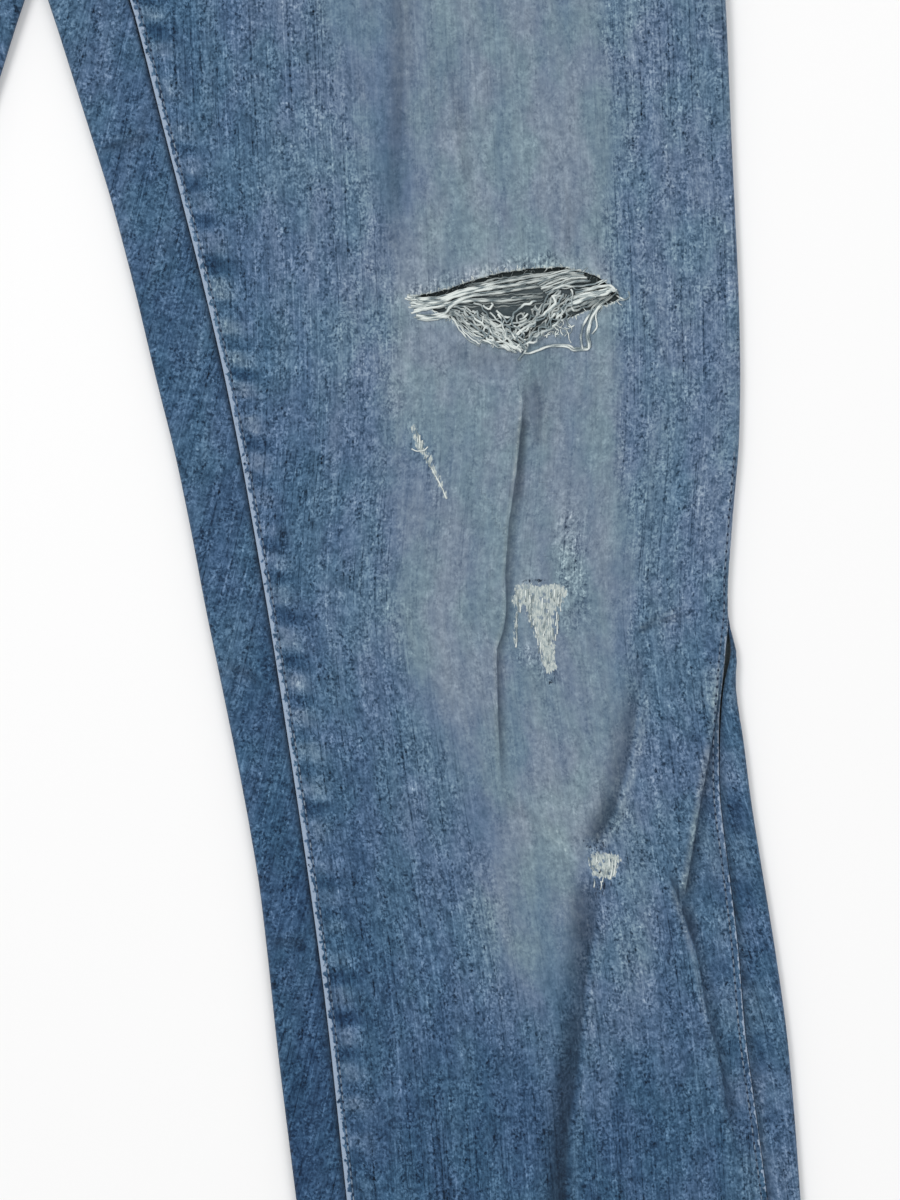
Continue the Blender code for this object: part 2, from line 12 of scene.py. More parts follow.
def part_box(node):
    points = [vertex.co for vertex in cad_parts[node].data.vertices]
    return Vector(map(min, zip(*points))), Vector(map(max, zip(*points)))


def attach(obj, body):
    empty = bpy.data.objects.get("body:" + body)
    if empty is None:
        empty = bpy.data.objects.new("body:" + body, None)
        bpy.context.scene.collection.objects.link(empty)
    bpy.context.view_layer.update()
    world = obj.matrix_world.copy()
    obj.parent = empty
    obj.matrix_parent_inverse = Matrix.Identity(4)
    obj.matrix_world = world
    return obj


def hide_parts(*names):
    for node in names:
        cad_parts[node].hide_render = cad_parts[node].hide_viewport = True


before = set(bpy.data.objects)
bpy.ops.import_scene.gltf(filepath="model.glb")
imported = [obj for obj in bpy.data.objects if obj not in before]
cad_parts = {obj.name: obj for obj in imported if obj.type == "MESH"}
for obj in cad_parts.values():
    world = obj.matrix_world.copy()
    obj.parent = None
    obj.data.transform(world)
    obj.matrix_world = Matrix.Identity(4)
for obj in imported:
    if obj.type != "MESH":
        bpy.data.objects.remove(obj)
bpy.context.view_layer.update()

# The garment's own frame, in millimetres: x = 0 centre front, +x the wearer's left, y = 0 just
# above the crotch, z = 0 the surface. The right leg is worked out on the left and mirrored.
MM = 0.001
BACK_WAIST_Y = 300.0
ORIGIN_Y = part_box("waistband")[1][1] / MM - BACK_WAIST_Y

# Cloth
SOLID_WALL = 1.2       # wall of the solids that the shells stand for
WALL = 1.0             # wall of the shells
BAND_SOLID = 2.4       # wall of the solids of waistband and hems, folded double
BAND = 2.2             # and of their shells
EDGE_RADIUS = 2.25     # how tightly the cloth turns at a folded edge
QUARTER = EDGE_RADIUS * math.pi / 2
SEAM_GAP = 0.3
SIDE_GAP = 0.08        # between the front's edge and the back's at the side, more where the edge is turned

# Garment
CROTCH_Y = -9.5        # centre of the turn between the legs
CROTCH_RADIUS = 2.5
FORK_Y = 45.0          # where the four inner seams cross
LEG_END = -752.9       # top of the hem, at the inner edge
HEM_END = -766.9
HEM_OUTER_YS = (-729.2, -742.9)        # top and end of the hem at the outer edge
BAND_HEIGHT = 38.0
BAND_SPREAD = 203.0 / 213.0            # its upper edge is a little shorter than its lower one
FRONT_LOOP_X = 100     # belt loops
BACK_LOOP_X = 118
FRONT_BAND_Y = 232.0
FRONT_TOP_Y = 231.8    # top of the fronts, under the waistband's edge
BACK_BAND_Y = 262.0
SIDE_BAND_Y = 244.0
SEAT_LOW_EDGE = 1.5    # height of the waistband's lower face

# Spacing of the rows down a leg, columns: y, step
ROW_STEPS = ((LEG_END, 5.4), (-520, 4.6), (-500, 3.2), (-400, 2.6), (-240, 2.8), (-172, 1.7), (-112, 1.7),
             (-26, 3.2))
# Rows of cloth, columns: y on the inner side or centre, y on the outer edge
LEG_ROWS = ((LEG_END, -729), (-600, -584), (-472, -463), (-338, -335), (-200, -200), (-135, -135),
            (-94, -101), (-26, -38))
FRONT_HIP_ROWS = ((45, 26), (76, 58), (112, 98), (148, 138), (171, 165))
SEAT_ROWS = ((-4, 26), (38, 58), (86, 98), (134, 138), (164, 174), (186.8, 208.8))
YOKE_ROWS = ((187.2, 209.2), (225, 227), (261.8, 243.8))
FACING_ROWS = ((157.5, 166.5), (196, 205), (235.8, 243.7))
# Rows that fan round the crotch, columns: turn in degrees, seam x, seam y, y on the outer edge
CROTCH_ROWS = ((90, 40.4, -25.5, -38), (66, 32, 2, -16), (44, 25, 22, -2), (20, 11, 40, 12), (0, 0, 45, 26))

# Front pocket opening: a quarter of an ellipse from the waistband down to the side
OPENING_X = 105.0
OPENING_Y = 165.0
OPENING_TOP = 236.0
FACING_X = 92.0

# Back pocket of the left seat: corners as (x, y), the lower edge pointed
POCKET_TOP = ((38, 176), (186, 190))
POCKET_BASE = ((46, 50), (182, 58))
POCKET_POINT_DROP = 32.0
POCKET_HEIGHT = 130.0

# Fly of the left front: the curved double row and the row beside the centre seam
FLY_STITCHES = (
    ((40, 228), (40, 170), (39, 140), (34, 118), (24, 102), (12, 92), (2, 88)),
    ((34, 228), (34, 170), (33.2, 141), (28.5, 121), (20, 107), (10, 98), (2, 94)),
    ((2.4, 86), (2.4, 60), (2.4, 40)),
)
FLY_END_Y = 84.0       # above this its stitches hold it down

# Knee rip in the left front: lips as (x, y)
RIP_Y = -135.0
SLIT = 0.4             # between the two rows that become the lips
RIP_REACHES = (34.0, 60.0)       # how far above and below it the cloth is drawn apart
UPPER_LIP = ((150, RIP_Y), (158, -133.6), (166, -131.4), (176, -127.8), (186, -125.2), (200, -123.4), (211, -123),
             (224, -126.4), (230, -131), (234, RIP_Y))
LOWER_LIP = ((150, RIP_Y), (157, -139.2), (166, -143), (172, -147.6), (178, -151), (186, -154), (192, -154.2),
             (199, -150), (208, -145), (219, -140.6), (229, -137.6), (234, RIP_Y))

# Points across the panels
SEAM_COLUMNS = np.array((0.0, 0.5, 1.0, 1.6, 2.3, 3.1, 4.1, 5.3, 6.8))     # mm from a seam
COLUMN_STEP = 1.3      # least step near the side seam, mm
FRONT_COLUMNS = {"left": 122, "right": 60}
STRIP_COLUMNS = 10
TURN_COLUMNS = 8
UNDER_COLUMNS = 26
FACING_COLUMNS = 22
HEM_COLUMNS = 34
HEM_UNDER_COLUMNS = 40
LAST_FLAT = -len(SEAM_COLUMNS)         # where the underside of a back begins to turn up
TURNED = len(SEAM_COLUMNS) + STRIP_COLUMNS - 1 + TURN_COLUMNS      # where it begins, past the strip and the fold

DICE = random.Random(11)


# ------------------------------------------------------------------ numbers
def clamp(value):
    return np.clip(value, 0, 1)


def smoothstep(value):
    value = clamp(value)
    return value * value * (3 - 2 * value)


def bell(value, reach):
    """1 at nought, nearly gone at twice the reach."""
    return np.exp(-(value / reach) ** 2)


def columns_at(table, place):
    """The other columns of a table where its first one, which rises, comes to a place."""
    first, *columns = np.array(table, float).T
    return [np.interp(place, first, column) for column in columns]


def moved(path, right, up):
    return [(x + right, y + up) for x, y in path]


# ------------------------------------------------------------------ reading the frame
def triangles(node, mirror=False):
    """A CAD node's triangles in the garment's frame, mirrored to the left if asked."""
    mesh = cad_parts[node].data
    mesh.calc_loop_triangles()
    points = np.array([v.co[:] for v in mesh.vertices]) / MM - (0, ORIGIN_Y, 0)
    if mirror:
        points[:, 0] *= -1
    return points[np.array([t.vertices[:] for t in mesh.loop_triangles])]


def tree(side, *names):
    """Search tree of solids of one side, as if they were on the left."""
    soup = np.concatenate([triangles(f"{n}_{side}", side == "right") for n in names]).reshape(-1, 3)
    faces = [(i, i + 1, i + 2) for i in range(0, len(soup), 3)]
    return BVHTree.FromPolygons([tuple(p) for p in soup], faces)


def crossing_x(soups, y):
    """Where the plane at y cuts the edges of these triangles."""
    found = []
    for soup in soups:
        for a, b in ((0, 1), (1, 2), (2, 0)):
            p, q = soup[:, a], soup[:, b]
            hit = (p[:, 1] - y) * (q[:, 1] - y) < 0
            p, q = p[hit], q[hit]
            found.append(p[:, 0] + (y - p[:, 1]) / (q[:, 1] - p[:, 1]) * (q[:, 0] - p[:, 0]))
    return np.concatenate(found)


def smooth(values, sigma):
    """Gaussian smoothing of evenly spaced values; the ends keep their slope."""
    reach = min(max(int(3 * sigma), 1), len(values) - 1)
    kernel = np.exp(-0.5 * (np.arange(-reach, reach + 1) / sigma) ** 2)
    kernel /= kernel.sum()
    head = 2 * values[0] - values[reach:0:-1]
    tail = 2 * values[-1] - values[-2:-reach - 2:-1]
    return np.convolve(np.concatenate((head, values, tail)), kernel, "valid")


def wrap_arc(inset):
    """Distance round the folded edge to a seam that lies that far in from it."""
    size = abs(inset)
    if size < EDGE_RADIUS:
        arc = EDGE_RADIUS * math.acos(1 - size / EDGE_RADIUS)
    else:
        arc = size + EDGE_RADIUS * (math.pi / 2 - 1)
    return math.copysign(arc, inset)


class Outline:
    """The garment's edges and seams as smooth functions of y, read from the left side's solids."""
    STEP = 4.0

    def __init__(self):
        front = [triangles(n) for n in ("front_left", "pocket_facing_left")]
        back = [triangles(n) for n in ("back_left", "yoke_left")]
        leg = [triangles("front_left")]
        self.tables = {}
        self.sample("inner", -750, CROTCH_Y, lambda y: crossing_x(back, y).min())
        self.sample("inseam", -750, FORK_Y - 2, lambda y: crossing_x(leg, y).min())
        self.sample("outer", -724, 236, lambda y: crossing_x(front + back, y).max())
        self.sample("wrap", -724, 236, lambda y: wrap_arc(crossing_x(front, y).max() - crossing_x(back, y).max()))

    def sample(self, name, low, high, value):
        ys = np.arange(low, high, self.STEP)
        self.tables[name] = (ys, smooth(np.array([value(y) for y in ys]), 2.0))

    def __call__(self, name, y):
        ys, values = self.tables[name]
        below = values[0] + (y - ys[0]) * (values[3] - values[0]) / (ys[3] - ys[0])
        above = values[-1] + (y - ys[-1]) * (values[-1] - values[-4]) / (ys[-1] - ys[-4])
        inside = np.interp(y, ys, values)
        found = np.where(y < ys[0], below, np.where(y > ys[-1], above, inside))
        return found if np.ndim(y) else float(found)


outline = Outline()
BAND_HALF_WIDTH = outline("outer", SIDE_BAND_Y)
LOWER_BAND_X = BAND_HALF_WIDTH - BAND_SOLID / 2


def band_low(x, centre_y):
    """Lower edge of the waistband: straight to the side in front, a gentle arch at the back."""
    share = min(abs(x) / BAND_HALF_WIDTH, 1.0)
    if centre_y == BACK_BAND_Y:
        share *= share
    return centre_y + (SIDE_BAND_Y - centre_y) * share


def side_trees(side):
    return {"front": tree(side, "front"), "back": tree(side, "back"), "under": tree(side, "back", "yoke")}


def surface_z(surface, x, y, below=False):
    """Height of the cloth at a plan point, seen from above or from below; None if there is none."""
    start, way = (-5.0, 1.0) if below else (40.0, -1.0)
    hit = surface.ray_cast(Vector((x, y, start)), Vector((0, 0, way)))
    return hit[0].z if hit[0] else None


def lower_z(trees, y):
    """Middle height of the cloth underneath, on the outer side of the leg."""
    x = min(outline("outer", y) - 45, 200)
    return (surface_z(trees["under"], x, y, below=True) or 0.0) + SOLID_WALL / 2


def top_heights(surface, plan, solid_wall):
    """Middle heights of the upper cloth of a solid at plan points, nan where it has a hole."""
    heights = np.full(len(plan), math.nan)
    for i, (x, y) in enumerate(plan):
        z = surface_z(surface, x, y)
        if z is not None and z > BAND_SOLID:
            heights[i] = z - solid_wall / 2
    return heights


# ------------------------------------------------------------------ rows of a panel
def interpolate_rows(table, step):
    """Rows through a table's rows, about step apart at the first column."""
    table = np.array(table, float)
    reach = np.concatenate(([0], np.cumsum(np.linalg.norm(np.diff(table[:, -2:], axis=0), axis=1) * 0.75)))
    count = max(int(round(reach[-1] / step)), 2)
    return np.stack([np.interp(np.linspace(0, reach[-1], count + 1), reach, c) for c in table.T], 1)


def leg_rows(scale):
    """(y inner, y outer) from the hem to the crotch, with two rows for the lips of the rip."""
    ys = []
    for lip, end in ((RIP_Y, LEG_END), (RIP_Y + SLIT, LEG_ROWS[-1][0])):
        way = math.copysign(scale, end - lip)
        run = [lip]
        while (end - run[-1]) * way > 0:
            run.append(run[-1] + way * float(columns_at(ROW_STEPS, run[-1])[0]))
        ys += [lip + (y - lip) * (end - lip) / (run[-1] - lip) for y in run]
    ys = np.array(sorted(ys))
    return np.stack((ys, *columns_at(LEG_ROWS, ys)), 1)


def past_columns(seam):
    """Distances past the outer edge from a seam beneath it up on to the top, fine round the turn."""
    turn = np.linspace(1, -1, 9) * QUARTER
    lead = [seam, (2 * seam + QUARTER) / 3, (seam + 2 * QUARTER) / 3]
    targets = np.concatenate((lead, turn))
    return np.minimum(targets, seam - COLUMN_STEP * np.arange(len(targets)))


class Row:
    """A line across a panel from a start to the folded outer edge."""

    def __init__(self, start, outer_y, trees, radius=EDGE_RADIUS, wall=WALL):
        self.start = np.array(start, float)
        self.edge = np.array((outline("outer", outer_y) - wall / 2, outer_y))
        self.along = (self.edge - self.start) / np.linalg.norm(self.edge - self.start)
        self.radius = radius
        self.quarter = radius * math.pi / 2
        wrap = outline("wrap", outer_y)
        self.wrap = wrap - math.copysign((EDGE_RADIUS - radius) * (math.pi / 2 - 1), wrap)
        self.gap = SIDE_GAP * (1 + 3 * math.exp(-(wrap / 8) ** 2))
        self.low = lower_z(trees, outer_y)

    def past(self, q):
        """Point at distance q past the outer edge (beneath if positive); height nan on the top."""
        if abs(q) <= self.quarter:
            turn = q / self.radius
            place = self.edge - self.along * self.radius * (1 - math.cos(turn))
            return (*place, self.low + self.radius * (1 - math.sin(turn)))
        place = self.edge - self.along * (self.radius + abs(q) - self.quarter)
        return (*place, self.low if q > 0 else math.nan)

    def over(self, start, gap, count):
        """Points from a start over the top and round the outer edge to that gap from the seam."""
        past = past_columns(self.wrap - gap)[::-1]
        return spread(start, self.past(past[0])[:2], count) + [self.past(q) for q in past]

    def level(self):
        """Height over the outer edge, in the form that fold_heights takes."""
        return (self.edge[0], -1.0, self.low + 2 * self.radius)

    def inseam(self):
        """How far across the row the inseam lies."""
        return (outline("inseam", self.start[1]) - self.start[0]) / (self.edge[0] - self.start[0])


def spread(start, end, count, height=math.nan):
    """Points from start towards end, close together near the start, end left out."""
    start, end = np.array(start, float), np.array(end, float)
    length = np.linalg.norm(end - start)
    near = SEAM_COLUMNS * min(1.0, length / 24)
    reach = np.concatenate((near, np.linspace(near[-1], length, count + 1)[1:-1]))
    return [(*(start + (end - start) * r / length), height) for r in reach]


def round_fold(fold, outward, radius, low, start, end):
    """Points round the folded inner edge, from one angle to another (a quarter turn is its top)."""
    return [(*(fold + outward * radius * math.cos(angle)), low + radius * (1 + math.sin(angle)))
            for angle in np.linspace(start, end, TURN_COLUMNS + 1)]


def fold_heights(grid, surface, levels, solid_wall=SOLID_WALL):
    """Fill the unknown heights from the solid, smoothly, rising to the level of each folded edge.

    levels: for each row, (x of the fold, direction into the panel, height over the fold).
    """
    top = np.isnan(grid[:, :, 2])
    kept = grid[:, :, 2].copy()
    grid[:, :, 2][top] = top_heights(surface, grid[top][:, :2], solid_wall)
    z = grid[:, :, 2]
    good = (~np.isnan(z)).sum(1) > 0.3 * z.shape[1]
    for i in np.flatnonzero(good):
        known = np.flatnonzero(~np.isnan(z[i]))
        z[i] = np.interp(np.arange(z.shape[1]), known, z[i][known])
    rows = np.flatnonzero(good)
    for i in np.flatnonzero(~good):
        z[i] = z[rows[np.argmin(np.abs(rows - i))]]
    for axis, sigma in ((1, 2.5), (0, 3.0)):
        z = np.apply_along_axis(smooth, axis, z, sigma)
    folds, inward, heights = (np.array(c)[:, None] for c in zip(*levels))
    inset = np.maximum((grid[:, :, 0] - folds) * inward - 2, 0)
    weight = bell(inset, 7.0)
    z = z * (1 - weight) + heights * weight
    grid[:, :, 2] = np.where(top, z, kept)


# ------------------------------------------------------------------ creases
def path_offsets(x, y, path):
    """Signed distance to a path drawn downwards (positive on its right), and share along it."""
    best = np.full(x.shape, 1e9)
    signed = np.zeros(x.shape)
    share = np.zeros(x.shape)
    total = sum(math.dist(a, b) for a, b in zip(path, path[1:]))
    done = 0.0
    for (ax, ay), (bx, by) in zip(path, path[1:]):
        length = math.dist((ax, ay), (bx, by))
        ux, uy = (bx - ax) / length, (by - ay) / length
        t = np.clip((x - ax) * ux + (y - ay) * uy, 0, length)
        dx, dy = x - ax - t * ux, y - ay - t * uy
        distance = np.hypot(dx, dy)
        nearer = distance < best
        best = np.where(nearer, distance, best)
        signed = np.where(nearer, distance * np.sign(dx * -uy + dy * ux), signed)
        share = np.where(nearer, (done + t) / total, share)
        done += length
    return signed, share


def crease(cloth, weight, path, left, right, overlap, dark, ends):
    """A fold along a path: each side rises or sinks by (height, reach), with a quick change between.

    overlap pushes the left side's lip over the right side, or the right side's if negative; dark is
    how much painted shade darkens the hollow, standing also for indigo left there, and how bright a
    painted highlight runs along the raised edge.
    """
    points = cloth.points
    signed, share = path_offsets(cloth.x, cloth.y, path)
    strength = clamp(share / ends[0]) * clamp((1 - share) / ends[1])
    strength = smoothstep(strength) * weight
    blend = 0.5 + 0.5 * np.tanh(signed / 0.6)
    a = left[0] * bell(np.minimum(signed, 0), left[1])
    b = right[0] * bell(np.maximum(signed, 0), right[1])
    points[:, :, 2] += strength * (a * (1 - blend) + b * blend)
    points[:, :, 0] += overlap * strength * bell(signed, 2.5) * -np.tanh(signed / 0.8)
    down, reach = (1.0, right[1]) if left[0] > right[0] else (-1.0, left[1])
    place = np.clip(signed * down / reach, -4, 4)
    nearer = np.abs(place) < np.abs(cloth.fold)
    cloth.fold = np.where(nearer, place, cloth.fold)
    cloth.depth = np.where(nearer, strength * dark, cloth.depth)


# Columns: path from the waist down, left (height, reach), right (height, reach), overlap, dark, shares of the
# path over which it comes and goes
CREASES = {
    "left": (
        (((279, -256), (273, -291), (270, -313), (264.5, -342), (259, -376)), (1.3, 8), (-0.6, 6), 0.9, 0.55,
         (0.15, 0.05)),
        (((251.5, -364), (256, -374), (264, -398), (268, -421), (273, -440), (281, -490)),
         (1.0, 7), (-0.5, 6), 0.5, 0.5, (0.05, 0.3)),
        (((195.4, -160), (194, -185), (191.8, -205), (189, -224), (187.4, -246), (187.8, -260), (186.9, -267),
          (184, -276), (184.5, -304), (186.5, -340)), (0.8, 9), (-0.5, 4.5), 0.6, 0.52, (0.15, 0.2)),
        (((247, -258), (243, -290), (238.5, -318), (232.5, -340), (227.5, -350), (224, -356)), (-0.9, 11), (0.9, 12),
         -0.5, 0.50, (0.6, 0.04)),
        (((184, -337), (202, -347), (217, -357)), (0.4, 9), (-0.2, 6), 0.0, 0.12, (0.2, 0.2)),
        (((226.5, -370), (225.6, -380), (221.8, -403), (220, -420), (218.2, -440), (214, -468), (212.6, -496),
          (211, -570)), (-0.9, 13), (1.0, 12), -0.5, 0.52, (0.12, 0.2)),
        (((146, -4), (147.5, -40), (145, -108)), (-0.25, 9), (0.3, 10), 0.0, 0.18, (0.1, 0.4)),
        (((162, -30), (167, -62), (173, -102)), (0.2, 9), (-0.15, 6), 0.0, 0.18, (0.3, 0.3)),
        (((210, -84), (212, -100), (211, -120)), (0.2, 7), (-0.15, 5), 0.0, 0.20, (0.4, 0.2)),
        (((200, -164), (203, -180), (202, -196)), (-0.25, 5), (0.3, 8), 0.0, 0.25, (0.2, 0.2)),
        (((130, -208), (150, -222), (184, -230)), (0.25, 9), (-0.2, 6), 0.0, 0.08, (0.2, 0.2)),
        (((10, 78), (56, 86), (104, 91)), (0.45, 7), (-0.35, 6), 0.0, 0.16, (0.2, 0.5)),
        (((8, 56), (58, 62), (108, 61)), (0.5, 7), (-0.4, 6), 0.0, 0.2, (0.2, 0.5)),
        (((12, 34), (60, 37), (106, 31)), (0.4, 7), (-0.3, 6), 0.0, 0.16, (0.2, 0.5)),
        (((264, -258.5), (252, -262.5), (241, -268.5)), (0.4, 5), (-0.5, 5), 0.0, 0.42, (0.5, 0.1)),
    ),
    "right": (
        (((10, 80), (52, 90), (98, 98)), (0.45, 7), (-0.35, 6), 0.0, 0.16, (0.2, 0.5)),
        (((8, 57), (60, 66), (112, 66)), (0.5, 8), (-0.4, 6), 0.0, 0.2, (0.2, 0.5)),
        (((12, 36), (56, 36), (100, 28)), (0.4, 6), (-0.3, 6), 0.0, 0.16, (0.2, 0.5)),
        (((282, -290), (240, -330), (182, -366)), (1.0, 8), (-0.6, 7), 0.6, 0.4, (0.2, 0.3)),
        (((78, -272), (132, -300), (172, -350)), (-0.6, 7), (0.9, 9), -0.5, 0.4, (0.2, 0.3)),
        (((200, -388), (206, -470), (214, -600)), (-0.6, 9), (1.0, 11), -0.4, 0.6, (0.1, 0.3)),
        (((158, -20), (166, -60), (166, -96)), (0.4, 10), (-0.25, 7), 0.0, 0.25, (0.2, 0.3)),
        (((236, -170), (228, -230), (236, -280)), (-0.4, 8), (0.5, 10), 0.0, 0.3, (0.3, 0.3)),
    ),
}


def uneven(points, weight, amounts, offset):
    """Raise points by gentle noise; amounts are (height, wavelength)."""
    for i, j in np.ndindex(weight.shape):
        if weight[i, j] > 0:
            x, y, _ = points[i, j]
            rise = sum(h * noise.noise(Vector((x / w, y / w, offset + w))) for h, w in amounts)
            points[i, j, 2] += weight[i, j] * rise


# ------------------------------------------------------------------ cloth pieces
class Cloth:
    """A grid of middle points, with what its material needs to know at every point."""

    def __init__(self, points, side):
        points = np.asarray(points, float)
        self.points = points
        self.side = side
        steps = np.linalg.norm(np.diff(points, axis=1), axis=2)
        self.start = np.concatenate((np.zeros((len(points), 1)), np.cumsum(steps, 1)), 1)
        self.end = self.start[:, -1:] - self.start
        self.weave(self.start, self.y)
        self.missing = None
        self.fade = np.full(self.start.shape, 0.4)       # washed out
        self.rubbed = np.zeros(self.start.shape)         # worn smooth, so that the flecks blur
        self.wear = np.full(self.start.shape, -6.0)      # mm inside a bare place
        self.slot = np.full(self.start.shape, -6.0)      # mm inside a dark slot between yarns
        self.shade = np.zeros(self.start.shape)          # painted shade on the face: seam grooves, fold hollows and sunk puckers
        self.inner_shadow = np.zeros(self.start.shape)          # painted shadow on the wrong side, seen through the rip
        self.fold = np.full(self.start.shape, 4.0)       # place across a crease, 0 its line, 1 the end of its hollow
        self.depth = np.zeros(self.start.shape)          # how strongly that crease is painted: shade in its hollow, highlight on its crest
        self.seam = np.full(self.start.shape, 30.0)      # mm from a turned edge

    @property
    def x(self):
        return self.points[:, :, 0]

    @property
    def y(self):
        return self.points[:, :, 1]

    def weave(self, across, along):
        """Place of every point in the weave, in millimetres across and along the warp."""
        self.cloth = np.stack((across, along, 0 * along), -1)


SHELLS = []
MATERIALS = {}
FACE_NUMBERS = ("fade", "rubbed", "wear", "slot", "shade", "fold", "depth", "seam")
SURFACE_NUMBERS = (*FACE_NUMBERS, "inner_shadow")


def shell(node, *cloths, wall=WALL, slot="denim", closed=False, inward=False):
    """Make a piece from one or more grids that share points, in place of the CAD node that it is named after.

    inward: the grid's own faces look into the garment, so their order is turned.
    """
    name = f"{node}_cloth"
    work = bmesh.new()
    layers = [work.verts.layers.float.new(key) for key in SURFACE_NUMBERS]
    place = work.verts.layers.float_vector.new("cloth")
    mirror = -1.0 if cloths[0].side == "right" else 1.0
    turned = (mirror < 0) != inward
    for cloth in cloths:
        rows, columns = cloth.start.shape
        verts = []
        numbers = np.stack([getattr(cloth, layer.name).ravel() for layer in layers], 1)
        spots = cloth.cloth.reshape(-1, 3) * MM + (0.7 if mirror < 0 else 0.0)
        for point, spot, values in zip(cloth.points.reshape(-1, 3), spots, numbers):
            vert = work.verts.new((point[0] * mirror * MM, (point[1] + ORIGIN_Y) * MM, point[2] * MM))
            vert[place] = Vector(spot)
            for layer, value in zip(layers, values):
                vert[layer] = value
            verts.append(vert)
        for i in range(rows - 1):
            for j in range(columns if closed else columns - 1):
                if cloth.missing is None or not cloth.missing[i, j]:
                    k = (j + 1) % columns
                    corners = [verts[i * columns + j], verts[i * columns + k],
                               verts[(i + 1) * columns + k], verts[(i + 1) * columns + j]]
                    work.faces.new(corners[::-1] if turned else corners)
    bmesh.ops.remove_doubles(work, verts=work.verts, dist=1e-5)
    bmesh.ops.delete(work, geom=[v for v in work.verts if not v.link_faces], context="VERTS")
    mesh = bpy.data.meshes.new(name)
    work.to_mesh(mesh)
    work.free()
    mesh.shade_smooth()
    mesh.materials.append(MATERIALS[slot])
    mesh.materials.append(MATERIALS["reverse"])
    body = add_piece(name, mesh)
    thick = body.modifiers.new("wall", "SOLIDIFY")
    thick.thickness = wall * MM
    thick.offset = 0.0
    thick.material_offset = 1
    if wall > WALL:
        bevel = body.modifiers.new("edge", "BEVEL")
        bevel.width = 0.6 * MM
        bevel.segments = 2
        bevel.limit_method = "ANGLE"
        bevel.angle_limit = math.radians(60)
    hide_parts(node)
    SHELLS.append(body)
    return body


def add_object(name, data):
    item = bpy.data.objects.new(name, data)
    bpy.context.scene.collection.objects.link(item)
    return item


def add_piece(name, mesh):
    body = add_object(name, mesh)
    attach(body, "root")
    return body


# How far the front is washed out, columns: y, at the inseam, down the middle, at the outer edge
FADE_ROWS = ((-767, 0.16, 0.26, 0.22), (-480, 0.23, 0.24, 0.34), (-440, 0.23, 0.34, 0.34), (-400, 0.26, 0.46, 0.35),
             (-320, 0.35, 0.56, 0.42), (-240, 0.37, 0.61, 0.54), (-115, 0.38, 0.62, 0.60), (60, 0.30, 0.62, 0.56),
             (232, 0.34, 0.50, 0.38))
# The oval rubbed pale and smooth over thigh and knee, columns: y, inner edge, outer edge, how much paler,
# inner edge of the smooth cloth
OVAL_ROWS = ((-450, 196, 214, 0.0, 206), (-415, 186, 212, 0.10, 192), (-395, 184, 216, 0.19, 186),
             (-370, 184, 222, 0.25, 183), (-350, 180, 226, 0.32, 174), (-320, 168, 234, 0.17, 164),
             (-300, 156, 238, 0.17, 150), (-250, 144, 238, 0.17, 143), (-200, 144, 236, 0.17, 142),
             (-150, 140, 231, 0.18, 144), (-110, 146, 228, 0.19, 140), (-50, 156, 230, 0.16, 124),
             (60, 130, 222, 0.13, 96), (180, 90, 190, 0.0, 80))


def leg_fade(x, y):
    """How far the denim is washed out across the front of a leg, and how far it is rubbed smooth."""
    inner = np.where(y < CROTCH_Y, outline("inner", y), 0)
    share = (x - inner) / (outline("outer", y) - inner)
    side, middle, outer = columns_at(FADE_ROWS, y)
    base = side + (middle - side) * smoothstep((share - 0.12) / 0.33)
    base += (outer - base) * smoothstep((share - 0.70) / 0.26)
    left, right, gain, smooth_from = columns_at(OVAL_ROWS, y)
    left, right = left + 5 * np.sin(y / 19.0) + 3 * np.sin(y / 8.3), right + 2.5 * np.sin(y / 13.0 + 1)
    inside = smoothstep((x - left) / 26 + 0.5) * smoothstep((right - x) / 15 + 0.5)
    rubbed = smoothstep((x - smooth_from) / 22 + 0.5) * smoothstep((right - x) / 11 + 0.5) * smoothstep(gain / 0.15)
    return base + gain * inside, rubbed


SIDE_PUCKERS = (33.0, 4.0)      # those of the side seam: pitch, middle


def seam_puckers(cloth, near, strength, pitch=14.5, middle=6.5):
    """Ropy unevenness beside a topstitched seam: raised and rubbed pale, then sunk, less faded and darkened by painted
    shade.
    """
    y = cloth.y
    wobble = 3.0 * np.sin(y / 31.0) + 1.9 * np.sin(y / 11.7 + 1)
    wave = np.sin(2 * math.pi * (y + wobble + (0.12 + 0.1 * np.sin(y / 47.0)) * near) / pitch)
    pale = clamp((wave + 0.25) / 0.6)
    dark = clamp((-0.35 - wave) / 0.4)
    reach = bell(near - middle, 6.0) * clamp((near - 1.6) / 1.2)
    strength = strength * reach * (0.8 + 0.3 * np.sin(y / 23.0 + 2))
    dark = dark * clamp(0.55 + 0.75 * np.sin(y / 8.9 + 2.4 * np.sin(y / 29.0)))
    cloth.points[:, :, 2] += (0.30 * pale - 0.45 * dark) * strength
    cloth.fade += (0.25 * pale - 0.30 * dark) * strength
    # painted shade in the sunk parts
    cloth.shade += 0.28 * dark * strength


# ------------------------------------------------------------------ the fronts
def front_rows(side):
    """(start, y on the outer edge) of the rows from the hem up to the pocket opening."""
    scale = 1.0 if side == "left" else 1.7
    rows = []
    for y_in, y_out in leg_rows(scale):
        inner = outline("inner", y_in)
        outer = outline("outer", y_out)
        seam_x = outline("inseam", y_in + (y_out - y_in) * 0.13)
        rows.append(((seam_x, y_in + (y_out - y_in) * (seam_x - inner) / (outer - inner)), y_out))
    for _, seam_x, seam_y, y_out in interpolate_rows(CROTCH_ROWS, 3.0 * scale)[1:]:
        rows.append(((seam_x, seam_y), y_out))
    for y_in, y_out in interpolate_rows(FRONT_HIP_ROWS, 4.0)[1:]:
        rows.append(((0.0, y_in), y_out))
    return rows


